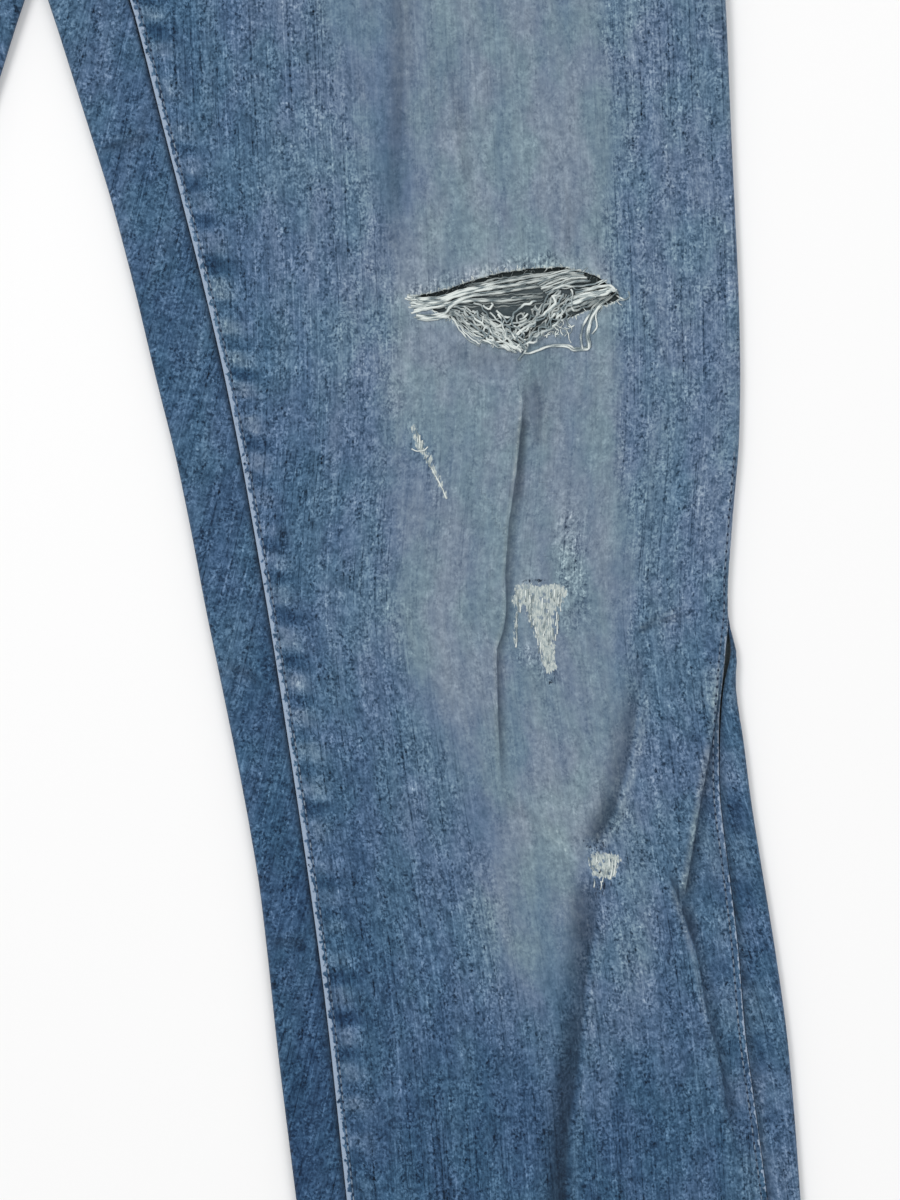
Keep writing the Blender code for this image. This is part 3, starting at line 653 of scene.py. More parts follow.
def opening_point(angle):
    """Point on the edge of the pocket opening, from the side (a quarter turn) up to the waist."""
    side_x = outline("outer", OPENING_Y)
    rise = 1 - math.sin(angle)
    return (side_x - (side_x - OPENING_X) * math.cos(angle),
            OPENING_TOP - (OPENING_TOP - OPENING_Y) * math.sin(angle) + 1.6 * rise ** 4)


def pocket_rows(first, count):
    """Rows from the centre front to the pocket opening, above the last full row."""
    rows = [first]
    start_y = first[0][1]
    for angle in np.linspace(math.pi / 2, 0, 27)[1:]:
        start = (SEAM_GAP / 2, start_y + (FRONT_TOP_Y - start_y) * (1 - math.sin(angle)))
        end = opening_point(angle)
        rows.append(spread(start, end, count) + [(*end, math.nan)])
    return np.array(rows, float)


def open_rip(points):
    """Draw the cloth above and below the rip apart, and tell which faces are gone."""
    x, y = points[:, :, 0], points[:, :, 1].copy()
    upper, lower = (columns_at(lip, x)[0] - RIP_Y for lip in (UPPER_LIP, LOWER_LIP))
    frayed = np.array([[0.5 * noise.noise(Vector((v / 1.9, 3.3, 0))) for v in line] for line in x])
    inside = (x > UPPER_LIP[0][0] + SLIT / 2) & (x < UPPER_LIP[-1][0] - SLIT / 2)
    above = y > RIP_Y + SLIT / 2
    reach = np.where(above, (y - RIP_Y - SLIT) / RIP_REACHES[0], (RIP_Y - y) / RIP_REACHES[1])
    share = clamp(1 - reach) ** 1.5
    shift = np.where(above, upper, lower) + np.where(inside, frayed, 0) * share ** 12
    points[:, :, 1] += np.where(reach >= -0.01, shift * share, 0)
    slit = np.flatnonzero(np.abs(y[:, 0] - RIP_Y) < 1e-6)[0]
    missing = np.zeros((points.shape[0] - 1, points.shape[1] - 1), bool)
    missing[slit] = inside[slit, :-1] & inside[slit, 1:]
    return missing


def lip_distance(x, y):
    """Distance from the rip's lips, large away from them."""
    return np.minimum(*(np.abs(path_offsets(x, y, lip)[0]) for lip in (UPPER_LIP, LOWER_LIP)))


# Bare places of the left front, columns: end of the middle line, other end, reach at each end
BARE = (
    ((193.5, -252.5), (209.5, -252.8), 2.6, 2.9),    # worn patch
    ((192.6, -257), (208.5, -256), 2.0, 2.6),
    ((201.5, -259), (203.5, -270), 5.6, 3.4),
    ((203.5, -268), (205.6, -283), 3.4, 2.2),
    ((192, -260), (191.8, -274), 0.5, 0.3),
    ((224, -359.5), (231, -360.5), 2.4, 2.6),        # small worn hole
    ((224.5, -364), (229.5, -365), 2.4, 2.4),
    ((151.2, -187), (153.5, -193.5), 0.8, 1.3),      # scratch
    ((153, -195), (157.5, -198), 1.0, 0.7),
    ((156.5, -199), (164, -214.5), 0.9, 0.5),
)

# Dark slots between the yarns there, same columns
SLOTS = (
    ((194.6, -248.9), (203.3, -248.5), 0.6, 0.7),
    ((206.2, -247.2), (207, -246.8), 0.4, 0.4),
    ((205.6, -289), (207.9, -287.4), 0.6, 0.6),
    ((226, -364), (223.9, -367), 0.5, 0.5),
    ((222.4, -356.6), (225.4, -356.4), 0.5, 0.6),
    ((224.4, -355.4), (225.4, -352.6), 0.5, 0.4),
    ((227, -356.4), (227.2, -353.2), 0.5, 0.4),
    ((219.5, -353), (221.5, -355.5), 0.5, 0.5),
    ((222.5, -351), (225.5, -350.6), 0.4, 0.5),
    ((224.6, -369.4), (224.4, -373.6), 0.5, 0.3),
    ((227.2, -369), (227, -373), 0.5, 0.4),
    ((229.8, -368.6), (229.6, -371.6), 0.4, 0.3),
    ((222.4, -374.6), (227.6, -374.8), 0.5, 0.3),
)

# Deep shade in the folds there, columns: end of the middle line, other end, reach at each end, how dark
SHADES = (
    ((146, -6), (145, -58), 4.5, 4.0, 0.22),
    ((145, -58), (142, -112), 4.0, 4.5, 0.26),
    ((194.6, -186), (193.2, -214), 2.2, 1.7, 0.55),
    ((192.8, -214), (189.5, -250), 1.8, 1.2, 0.15),
    ((220, -375), (219, -388), 5.6, 5.6, 0.55),
    ((218.5, -388), (216.5, -404), 5.8, 5.4, 0.24),
    ((215, -425), (212.5, -445), 4.0, 4.0, 0.45),
    ((212, -445), (208.5, -500), 4.0, 4.4, 0.55),
    ((230, -338), (225, -350), 4.0, 3.4, 0.38),
    ((243, -267), (246.5, -265), 1.6, 1.5, 0.60),
    ((201, -158), (202, -190), 8.0, 5.0, 0.22),
    ((170, -157), (192, -160), 5.0, 5.0, 0.20),
    ((258, -374), (263, -388), 3.0, 3.0, 0.50),
    ((262, -368), (258, -377), 2.5, 2.5, 0.40),
)

# Places in the smooth cloth that have kept their flecks, same columns, by how much
PILLED = (
    ((214, -226), (215, -262), 5.5, 6.5, 1.0),
    ((152, -186), (160, -214), 6.0, 5.0, 0.5),
    ((196, -278), (206, -286), 4.5, 4.5, 1.0),
    ((150, -132), (206, -119), 4.0, 4.0, 0.7),
    ((226, -353), (232, -356), 5.0, 5.0, 1.0),
    ((225, -370), (230, -374), 6.0, 6.0, 1.0),
)

# Faded whiskers that fan out from the crotch, same columns
WHISKERS = (
    ((14, 104), (96, 126), 2.5, 5.0, 0.10),
    ((12, 82), (104, 96), 2.5, 5.0, 0.14),
    ((10, 60), (108, 66), 2.5, 5.0, 0.15),
    ((14, 38), (106, 36), 2.5, 5.0, 0.12),
)

# Rubbed ridges beside the folds, columns: end of the middle line, other end, reach at each end, how much paler
RUBBED = (
    ((239, -345), (241, -385), 10.0, 11.0, 0.11),
    ((241, -385), (234, -430), 11.0, 9.0, 0.13),
    ((233, -430), (224, -458), 8.0, 6.0, 0.09),
    ((196, -396), (199, -416), 7.0, 5.0, 0.08),
    ((271.5, -294), (265.8, -330), 1.2, 1.2, 0.10),
    ((265.8, -330), (258.3, -374), 1.2, 1.3, 0.20),
    ((254.8, -373), (262.4, -398), 1.4, 1.2, 0.16),
    ((262.4, -398), (267, -421), 1.2, 1.2, 0.10),
    ((278, -345), (280, -360), 6.0, 6.0, 0.12),
)


def strokes(x, y, table):
    """For each tapered stroke the distance from its middle line, its reach there and the rest of its row."""
    for start, end, start_reach, end_reach, *rest in table:
        signed, share = path_offsets(x, y, (start, end))
        yield np.abs(signed), start_reach + (end_reach - start_reach) * share, *rest


def soft_strokes(x, y, table):
    """Strength of soft strokes, fading from their middle lines."""
    result = np.zeros(x.shape)
    for distance, reach, depth in strokes(x, y, table):
        result = np.maximum(result, depth * np.exp(-(distance / reach) ** 2.6))
    return result


def inside_strokes(x, y, table):
    """Distance inside the nearest of these strokes, negative outside."""
    result = np.full(x.shape, -6.0)
    for distance, reach in strokes(x, y, table):
        result = np.maximum(result, reach - distance)
    return result


def wear_front(leg):
    """Frayed lips, bare patches and dark slots of the left front."""
    x, y = leg.x, leg.y
    lip = lip_distance(x, y)
    leg.wear = np.maximum(0.4 - lip, inside_strokes(x, y, BARE))
    leg.slot = inside_strokes(x, y, SLOTS)
    # painted shade in the folds
    leg.shade += soft_strokes(x, y, SHADES)
    leg.fade += soft_strokes(x, y, RUBBED)
    leg.fade += 0.12 * bell(lip, 5)
    sunk = clamp((leg.wear + 0.5) / 1.5) * clamp(lip / 3 - 0.5)
    leg.points[:, :, 2] += 0.3 * bell(lip, 2.0) - 0.25 * sunk


def lift_fly(cloth):
    """The left front's edge laps over the right's, and stands proud as far as its stitches hold the fly."""
    x, y = cloth.x, cloth.y
    above_fork = clamp((y - FORK_Y) / 8)
    inside, _ = path_offsets(x, y, FLY_STITCHES[0])
    doubled = smoothstep(inside / 2.5 + 0.5) * clamp((y - FLY_END_Y) / 8)
    cloth.points[:, :, 2] += 0.45 * bell(cloth.start, 2.5) * above_fork + 0.4 * doubled
    cloth.fade += 0.12 * bell(cloth.start, 3) * above_fork
    cloth.fade += 0.10 * bell(inside - 3, 2) * doubled
    cloth.seam = np.minimum(cloth.seam, cloth.start + 0.8 + 3 * (1 - above_fork))


def finish_front(cloth, on_top):
    """Colour and relief that the two grids of a front share."""
    side, x, y = cloth.side, cloth.x, cloth.y
    from_edge = outline("outer", y) - x
    cloth.weave(np.where(from_edge > 4, from_edge, cloth.end - cloth.wraps), y)
    cloth.fade, cloth.rubbed = leg_fade(x, y)
    cloth.fade += soft_strokes(x, y, WHISKERS)
    cloth.rubbed -= soft_strokes(x, y, PILLED) * cloth.rubbed * (side == "left")
    uneven(cloth.points, on_top, ((0.6, 38), (0.3, 13)), 3.0 if side == "left" else 8.0)
    for crease_row in CREASES[side]:
        crease(cloth, on_top, *crease_row)


def front(side):
    trees = side_trees(side)
    across = FRONT_COLUMNS[side]
    grid, levels = [], []
    for seam, outer_y in front_rows(side):
        row = Row(seam, outer_y, trees)
        grid.append(row.over(row.start + row.along * SEAM_GAP / 2, row.gap, across))
        levels.append(row.level())
    points = np.array(grid, float)
    missing = open_rip(points) if side == "left" else None
    fold_heights(points, trees["front"], levels)
    leg = Cloth(points, side)
    leg.missing = missing
    leg.wraps = np.array([outline("wrap", line[-1, 1]) for line in points])[:, None]
    upto = len(SEAM_COLUMNS) + across + 4
    upper = pocket_rows(points[-1, :upto].tolist(), across + 4)
    fold_heights(upper, trees["front"], [(400, -1.0, 0.0)] * len(upper))
    hip = Cloth(upper, side)
    hip.wraps = 0
    finish_front(leg, clamp((leg.end - leg.wraps - QUARTER) / 5))
    finish_front(hip, np.ones(hip.start.shape))
    below_fork = clamp((FORK_Y - 6 - leg.y) / 20)
    leg.points[:, :, 2] += (0.45 * bell(leg.start, 1.3) - 0.25 * bell(leg.start - 2.2, 0.9)) * below_fork
    seam_puckers(leg, leg.start, below_fork)
    on_show = clamp(-(leg.wraps + 1) / 4)
    leg.points[:, :, 2] += 0.4 * bell(leg.end, 1.5) * on_show
    seam_puckers(leg, leg.end, 0.6 * on_show, *SIDE_PUCKERS)
    leg.seam = np.minimum(leg.start + 3 * (1 - below_fork), 1.7 * leg.end + 0.75)
    if side == "left":
        wear_front(leg)
        lift_fly(leg)
        lift_fly(hip)
    opening, _ = path_offsets(hip.x, hip.y, [opening_point(t) for t in np.linspace(0, math.pi / 2, 24)])
    hip.seam = np.minimum(np.abs(opening), hip.seam)
    hip.points[0] = leg.points[-1, :upto]
    body = shell(f"front_{side}", leg, hip)


def facing(side):
    """Denim behind the pocket opening, one layer below the front and round the side."""
    trees = side_trees(side)
    surface = tree(side, "pocket_facing")
    grid, levels = [], []
    radius = EDGE_RADIUS - (SOLID_WALL + SEAM_GAP) / 2
    for y_in, outer_y in interpolate_rows(FACING_ROWS, 3.4):
        row = Row((FACING_X, y_in), outer_y, trees, radius)
        grid.append(row.over(row.start, SEAM_GAP, FACING_COLUMNS))
        levels.append(row.level())
    points = np.array(grid, float)
    fold_heights(points, surface, levels)
    cloth = Cloth(points, side)
    uneven(points, clamp((cloth.end - 18) / 10), ((0.3, 24),), 2.0)
    body = shell(f"pocket_facing_{side}", cloth, slot="denim_inside")


# ------------------------------------------------------------------ the backs
def strip_and_turn(row, inner, outward, seam):
    """Back panel from the inseam over the top strip and round the inner edge."""
    fold = inner - outward * EDGE_RADIUS
    seam = seam - (seam - fold) / np.linalg.norm(seam - fold) * SEAM_GAP / 2
    edge = round_fold(fold, outward, EDGE_RADIUS, row.low, math.pi / 2, -math.pi / 2)
    return spread(seam, fold, STRIP_COLUMNS) + edge, fold

# How far the back is washed out, columns: y, beside the inseam, beside the outseam
STRIP_FADES = ((-767, 0.12, 0.36), (-480, 0.14, 0.42), (-420, 0.18, 0.34), (-400, 0.18, 0.32), (-300, 0.29, 0.34),
               (-200, 0.33, 0.36), (-165, 0.26, 0.38), (-115, 0.33, 0.38), (-30, 0.38, 0.40), (60, 0.38, 0.40))

# Creases and rubbed ridges behind the knees, on the side that lies down; the creases' hollows get painted shade.
# Columns: path, dark
KNEE_CREASES = (
    (((92, -96), (140, -108), (190, -98)), 0.30),
    (((128, -178), (168, -190), (214, -180)), 0.36),
    (((104, -206), (146, -220), (196, -214)), 0.28),
    (((120, -262), (160, -270), (206, -260)), 0.20),
)
KNEE_FADES = (
    ((88, -88), (178, -99), 3.0, 3.0, 0.14),
    ((126, -170), (206, -176), 3.0, 3.0, 0.16),
    ((102, -198), (188, -209), 3.0, 3.0, 0.14),
    ((112, -240), (196, -246), 4.0, 4.0, 0.10),
)

# Small bulge of the left leg's outer edge
EDGE_BUMP = 1.9
EDGE_BUMP_Y = -277.0

# Fine creases over the strip of the left back, with painted shade in their hollows
STRIP_CREASES = (((46, -68.5), (34, -71.5), (20, -76.5)), ((108, -391.5), (99, -391), (90, -391.5)),
                 ((74, -283), (84, -287), (90, -294)))


def under_line(row, start, count):
    """Underside from a start to the outseam, beneath the leg or up on its top."""
    past = -past_columns(-(row.wrap + row.gap))[::-1]
    end = np.array(row.past(past[0])[:2])
    start = np.array(start, float)
    line = [(*(start + (end - start) * share), row.low) for share in np.linspace(0, 1, count + 1)[:-1]]
    return line + [row.past(q) for q in past]


def centre_line(y_in, outer_y, trees):
    """Underside from the centre back to the outseam."""
    row = Row((SEAM_GAP / 2, y_in), outer_y, trees)
    return under_line(row, row.start, UNDER_COLUMNS)


def back_rows(side, trees):
    rows = []
    for y_in, y_out in leg_rows(1.4 if side == "left" else 1.8):
        inner = np.array((outline("inner", y_in) + WALL / 2, y_in))
        row = Row(inner, y_out, trees)
        seam_y = y_in + row.inseam() * (y_out - y_in)
        seam = np.array((outline("inseam", seam_y), seam_y))
        rows.append((row, inner, -row.along, seam))
    for degrees, seam_x, seam_y, y_out in interpolate_rows(CROTCH_ROWS, 3.2)[1:]:
        angle = math.radians(degrees)
        outward = np.array((-math.sin(angle), -math.cos(angle)))
        inner = np.array((0.0, CROTCH_Y)) - outward * (CROTCH_RADIUS + WALL / 2)
        rows.append((Row(inner, y_out, trees), inner, outward, np.array((seam_x, seam_y), float)))
    return rows


def seat_fade(x):
    """How far the seat is washed out, most in the middle of each half."""
    return 0.40 + 0.14 * bell(x - 110, 70)


def back_points(side, trees):
    """Grid of a back up to the seat: the strip, round the inner edge, the underside, round the outer edge."""
    grid, levels, folds = [], [], []
    for row, inner, outward, seam in back_rows(side, trees):
        line, fold = strip_and_turn(row, inner, outward, seam)
        grid.append(line + under_line(row, fold, UNDER_COLUMNS)[1:])
        levels.append((fold[0], 1.0, row.low + 2 * EDGE_RADIUS))
        folds.append(row.edge[0])
    points = np.array(grid, float)
    middle = TURNED + UNDER_COLUMNS // 2
    strip, rest = points[:, :middle].copy(), points[:, middle:].copy()
    fold_heights(strip, trees["back"], levels)
    fold_heights(rest, trees["back"], [(f, -1.0, level[2]) for f, level in zip(folds, levels)])
    points = np.concatenate((strip, rest), 1)
    centre = (points[:, :, 1] > CROTCH_Y) & (points[:, :, 0] < SEAM_GAP / 2)
    points[:, :, 0] = np.where(centre, SEAM_GAP / 2, points[:, :, 0])
    return points


def finish_back(leg):
    """Colour and relief of the strip beside the inseam and of the side that lies down."""
    points, near, x, y = leg.points, leg.start, leg.x, leg.y
    leg.weave(x, y)
    leg.cloth[:, LAST_FLAT:, 0] = x[:, LAST_FLAT, None] + near[:, LAST_FLAT:] - near[:, LAST_FLAT, None]
    on_strip = np.arange(points.shape[1]) < TURNED - TURN_COLUMNS // 2
    leg.cloth[:, on_strip] = np.stack((0.2 * y - 0.9 * x, y + 0.25 * x, 0 * y), -1)[:, on_strip]
    inner_fade, outer_fade = columns_at(STRIP_FADES, y)
    outer_share = smoothstep((55 - leg.end) / 30)
    leg.fade = outer_fade * outer_share + inner_fade * (1 - outer_share)
    points[:, :, 2] -= 0.4 * bell(near, 1.2)
    # painted shade in the grooves beside the inseam and along the outer edge
    leg.shade = 0.9 * bell(near, 1.5) + 0.5 * bell(leg.end, 1.1)
    on_show = clamp((points[:, :, 2] - SOLID_WALL - 1) / 1.5)
    seam_puckers(leg, leg.end, 0.6 * on_show, *SIDE_PUCKERS)
    if leg.side == "left":
        points[:, :, 0] += EDGE_BUMP * bell(y - EDGE_BUMP_Y, 9) * clamp((x - 268) / 8)
        for path in STRIP_CREASES:
            crease(leg, (near < 30) * on_show, path, (0.3, 6), (-0.4, 6), 0.0, 0.36, (0.1, 0.4))
        # painted shadow on the wrong side of the back under the rip, darkest below the upper lip
        upper, _ = path_offsets(x, y, UPPER_LIP)
        rip_x, rip_y = np.mean([p[0] for p in UPPER_LIP]), RIP_Y - 4
        leg.inner_shadow = (0.60 + 0.4 * bell(upper, 4.5)) * (np.hypot((x - rip_x) / 52, (y - rip_y) / 24) < 1)
    under = (near > near[:, TURNED, None]) * clamp(leg.end / 20 - 1)
    for path, dark in KNEE_CREASES:
        crease(leg, under, path, (0.5, 8), (0.15, 6), 0.0, dark, (0.25, 0.35))
    below = clamp((near - near[:, TURNED, None]) / 10)
    leg.fade += (seat_fade(x) - leg.fade) * smoothstep((y + 110) / 140) * below
    leg.fade += soft_strokes(x, y, KNEE_FADES) * under
    uneven(points, clamp((near - 1) / 6) * clamp((26 - near) / 6), ((0.35, 17), (0.2, 7)), 5.0)


def back(side):
    trees = side_trees(side)
    leg = Cloth(back_points(side, trees), side)
    finish_back(leg)
    lines = [leg.points[-1, TURNED:].tolist()]
    lines += [centre_line(*ys, trees) for ys in interpolate_rows(SEAT_ROWS, 5.5)[1:]]
    seat = Cloth(lines, side)
    seat.weave(seat.x, seat.y)
    seat.cloth[:, LAST_FLAT:, 0] += (seat.start - seat.start[:, LAST_FLAT, None]
                                     + seat.x[:, LAST_FLAT, None] - seat.x)[:, LAST_FLAT:]
    seat.seam = seat.start + 0.9
    seat.fade = seat_fade(seat.x)
    body = shell(f"back_{side}", leg, seat, inward=True)


def yoke(side):
    trees = side_trees(side)
    lines = []
    for y_in, outer_y in interpolate_rows(YOKE_ROWS, 5.0):
        line = centre_line(y_in, outer_y, trees)
        rise = (y_in - YOKE_ROWS[0][0]) / (YOKE_ROWS[-1][0] - YOKE_ROWS[0][0])
        for j, (x, y, z) in enumerate(line):
            straight = BACK_BAND_Y + (SIDE_BAND_Y - BACK_BAND_Y) * min(x / BAND_HALF_WIDTH, 1.0)
            line[j] = (x, y + rise * (band_low(x, BACK_BAND_Y) - straight), z)
        lines.append(line)
    cloth = Cloth(lines, side)
    cloth.seam = cloth.y - cloth.y[0] + 0.9
    body = shell(f"yoke_{side}", cloth, inward=True)


def hem(side):
    """Turned-up end of a leg, a flat ring of doubled cloth."""
    trees = side_trees(side)
    surface = tree(side, "hem")
    radius = EDGE_RADIUS - 0.3
    lines, levels = [], []
    for y_in, y_out in zip(np.linspace(LEG_END - 0.2, HEM_END, 6), np.linspace(*HEM_OUTER_YS, 6)):
        inner = np.array((outline("inner", y_in) + BAND / 2, y_in))
        row = Row(inner, y_out, trees, radius, BAND)
        row.low = BAND_SOLID / 2
        outward = -row.along
        seam = inner + (row.edge - inner) * row.inseam()
        line = row.over(seam, 0.0, HEM_COLUMNS)
        if row.wrap <= 0:
            line += [row.past(q) for q in np.linspace(row.wrap, row.quarter, 18)[1:]]
        fold = inner - outward * radius
        start = np.array(line[-1][:2])
        line += [(*(start + (fold - start) * t), row.low) for t in np.linspace(0, 1, HEM_UNDER_COLUMNS + 1)[1:-1]]
        line += round_fold(fold, outward, radius, row.low, -math.pi / 2, math.pi / 2)
        line += [(*(fold + (seam - fold) * t), math.nan) for t in np.linspace(0, 1, 9)[1:-1]]
        lines.append(line)
        levels.append(row.level())
    points = np.array(lines, float)
    fold_heights(points, surface, levels, BAND_SOLID)
    cloth = Cloth(points, side)
    cloth.fade += 0.1 * np.sin(2 * math.pi * (cloth.start + 0.8 * cloth.y) / 11)        # roping
    cloth.seam = np.linspace(14.5, 0, len(points))[:, None] + 0 * cloth.start
    body = shell(f"hem_{side}", cloth, wall=BAND, closed=True, inward=True)


def back_pocket(side):
    """Flat patch under the seat with a pointed lower edge."""
    lines = []
    (left_top, right_top), (left_low, right_low) = np.array((POCKET_TOP, POCKET_BASE), float)
    for t in np.linspace(0, 1, 30):
        left, right = left_top + (left_low - left_top) * t, right_top + (right_low - right_top) * t
        line = []
        for s in np.linspace(0, 1, 31):
            x, y = left + (right - left) * s
            line.append((x, y - POCKET_POINT_DROP * (1 - abs(2 * s - 1)) * t ** 1.5, SOLID_WALL / 2))
        lines.append(line)
    cloth = Cloth(lines, side)
    from_top = np.linspace(0, POCKET_HEIGHT, len(lines))[:, None]
    cloth.seam = np.minimum(np.minimum(cloth.start, cloth.end), np.minimum(from_top, POCKET_HEIGHT - from_top))
    body = shell(f"back_pocket_{side}", cloth)


# ------------------------------------------------------------------ waist
def waistband():
    """Band folded flat, from the end under the button all round to the end over it."""
    under = SEAT_LOW_EDGE + BAND_SOLID / 2
    over = under + 2 * EDGE_RADIUS
    tucked = under + BAND_SOLID + SEAM_GAP
    button_end = tucked + BAND_SOLID + SEAM_GAP
    fold_x = LOWER_BAND_X - EDGE_RADIUS

    def run(start, end, count, z, centre):
        return [(x, z, centre) for x in np.linspace(start, end, count)]

    def fold(way):
        return [(way * (LOWER_BAND_X - EDGE_RADIUS * (1 - math.sin(angle))),
                 under + EDGE_RADIUS * (1 - way * math.cos(angle)), SIDE_BAND_Y)
                for angle in np.linspace(0, math.pi, 11)[1:-1]]

    stations = [*run(36, -12, 16, tucked, FRONT_BAND_Y), *run(-46, -fold_x, 50, over, FRONT_BAND_Y), *fold(-1),
                *run(-fold_x, fold_x, 100, under, BACK_BAND_Y), *fold(1),
                *run(fold_x, 72, 36, over, FRONT_BAND_Y), *run(40, -2, 14, button_end, FRONT_BAND_Y)]
    lines = [[(x * (1 + share * (BAND_SPREAD - 1)),
               band_low(x, centre) + SEAM_GAP / 2 + share * (BAND_HEIGHT - SEAM_GAP / 2), z)
              for x, z, centre in stations] for share in np.linspace(0, 1, 11)]
    cloth = Cloth(lines, "left")
    cloth.points[:, :, 2] = np.apply_along_axis(smooth, 1, cloth.points[:, :, 2], 1.2)
    across = np.linspace(0, BAND_HEIGHT, 11)[:, None] + 0 * cloth.start
    cloth.weave(across, cloth.start)
    edge = np.minimum(across, BAND_HEIGHT - across)
    cloth.fade += 0.12 * bell(edge, 2.5)
    cloth.seam = edge + 0.4
    on_top = cloth.points[:, :, 2] > 6
    for i, j in np.ndindex(on_top.shape):
        if on_top[i, j]:
            cloth.points[i, j, 2] += 0.25 * noise.noise(Vector((cloth.start[i, j] / 17, i * 0.6, 9)))
    body = shell("waistband", cloth, wall=BAND, inward=True)


def belt_loop(node, x, in_front):
    """Strip of folded denim: over the waistband in front, under it at the back."""
    low = band_low(x, FRONT_BAND_Y if in_front else BACK_BAND_Y)
    if in_front:
        panel = SEAT_LOW_EDGE + 1.5 * SOLID_WALL + 2 * EDGE_RADIUS + SEAM_GAP
        band = SEAT_LOW_EDGE + BAND_SOLID + 2 * EDGE_RADIUS + SEAM_GAP + SOLID_WALL / 2
        profile = ((low - 11, panel), (low - 5, panel), (low - 1, band), (low + BAND_HEIGHT, band))
    else:
        profile = ((low - 10, SOLID_WALL / 2), (low + BAND_HEIGHT, SOLID_WALL / 2))
    ys = np.linspace(profile[0][0], profile[-1][0], 34)
    zs = smooth(np.interp(ys, *zip(*profile)), 1.3)
    crown = 0.25 if in_front else 0.0
    lines = [[(x + 6 * t, y, z + crown * (1 - t * t)) for t in np.linspace(-1, 1, 9)] for y, z in zip(ys, zs)]
    cloth = Cloth(lines, "left")
    cloth.weave(cloth.x, cloth.y)
    cloth.seam = np.minimum(cloth.start, cloth.end)
    body = shell(node, cloth, inward=not in_front)


def fly_shield():
    """Flap of denim behind the zip, hidden under the fly."""
    low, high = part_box("fly_shield")
    xs = np.linspace(low[0], high[0], 12) / MM
    ys = np.linspace(low[1], high[1], 34) / MM - ORIGIN_Y
    z = (low[2] + high[2]) / 2 / MM
    cloth = Cloth([[(x, y, z) for x in xs] for y in ys], "left")
    body = shell("fly_shield", cloth, slot="denim_inside")


# ------------------------------------------------------------------ threads and stitches
def dressed_tree():
    """All the shells as they stand now, in the garment's frame."""
    bpy.context.view_layer.update()
    graph = bpy.context.evaluated_depsgraph_get()
    points, faces = [], []
    for body in SHELLS:
        seen = body.evaluated_get(graph)
        mesh = seen.to_mesh()
        flat = np.empty(len(mesh.vertices) * 3)
        mesh.vertices.foreach_get("co", flat)
        base = len(points)
        points.extend((flat.reshape(-1, 3) / MM - (0, ORIGIN_Y, 0)).tolist())
        faces.extend([tuple(base + v for v in f.vertices) for f in mesh.polygons])
        seen.to_mesh_clear()
    return BVHTree.FromPolygons(points, faces)


def curve_through(points, step):
    """Smooth curve through points, sampled about a step apart."""
    points = np.array(points, float)
    if len(points) == 2:
        count = max(int(np.linalg.norm(points[1] - points[0]) / step), 1)
        return points[0] + (points[1] - points[0]) * np.linspace(0, 1, count + 1)[:, None]
    padded = np.concatenate(([2 * points[0] - points[1]], points, [2 * points[-1] - points[-2]]))
    result = [points[0]]
    for a, b, c, d in zip(padded, padded[1:], padded[2:], padded[3:]):
        count = max(int(round(np.linalg.norm(c - b) / step)), 1)
        for t in np.linspace(0, 1, count + 1)[1:]:
            result.append(0.5 * (2 * b + (c - a) * t + (2 * a - 5 * b + 4 * c - d) * t * t
                                 + (3 * b - a - 3 * c + d) * t ** 3))
    return np.array(result)


class Threads:
    """Many thin threads joined into one piece."""
    SIDES = 5

    def __init__(self):
        self.points, self.faces, self.tones, self.shades = [], [], [], []

    def tube(self, line, radii, tone, shades):
        """Round thread along a line, with a radius, a tone and a shade at every point; flat ends."""
        line = np.array(line, float)
        tones = np.broadcast_to(tone, len(line))
        along = np.gradient(line, axis=0)
        along /= np.linalg.norm(along, axis=1)[:, None] + 1e-9
        across = np.cross(along, (0, 0, 1))
        across /= np.linalg.norm(across, axis=1)[:, None] + 1e-9
        over = np.cross(across, along)
        base, sides = len(self.points), self.SIDES
        for i, point in enumerate(line):
            for k in range(sides):
                angle = 2 * math.pi * k / sides
                self.points.append(point + radii[i] * (across[i] * math.cos(angle) + over[i] * math.sin(angle)))
                self.tones.append(tones[i])
                self.shades.append(shades[i])
        for i in range(len(line) - 1):
            for k in range(sides):
                a, b = base + i * sides + k, base + i * sides + (k + 1) % sides
                self.faces.append((a, b, b + sides, a + sides))
        self.faces.append(tuple(range(base + sides - 1, base - 1, -1)))
        last = base + (len(line) - 1) * sides
        self.faces.append(tuple(range(last, last + sides)))

    def piece(self, name, material):
        mesh = bpy.data.meshes.new(name)
        points = (np.array(self.points) + (0, ORIGIN_Y, 0)) * MM
        mesh.from_pydata(points.tolist(), [], self.faces)
        for key, values in (("tone", self.tones), ("shade", self.shades)):
            layer = mesh.attributes.new(key, "FLOAT", "POINT")
            layer.data.foreach_set("value", np.array(values, float))
        mesh.shade_smooth()
        mesh.materials.append(material)
        body = add_piece(name, mesh)


STITCH_PITCH = 3.4
STITCH_LENGTH = 2.5
STITCH_RADIUS = 0.3
SUNK = 0.22            # how far the stitches of the seat stand out of the cloth that lies on them
# Rows of stitches, how far from their edge
BAND_STITCHES = (2.6, BAND_HEIGHT - 2.4)
OPENING_STITCHES = (2.0, 7.6)
YOKE_STITCHES = (2.2, 8.0)
INSEAM_STITCHES = -2.8                 # beside the inseam, on the back
OUTSEAM_STITCHES = 0.7
OUTSEAM_TOP_Y = -196                   # the outseam's row comes into view here
HEM_STITCH_Y = -748.3                  # at x = 190
HEM_SLOPE = 0.121
LOOP_STITCHES = 3.8                    # from a belt loop's middle


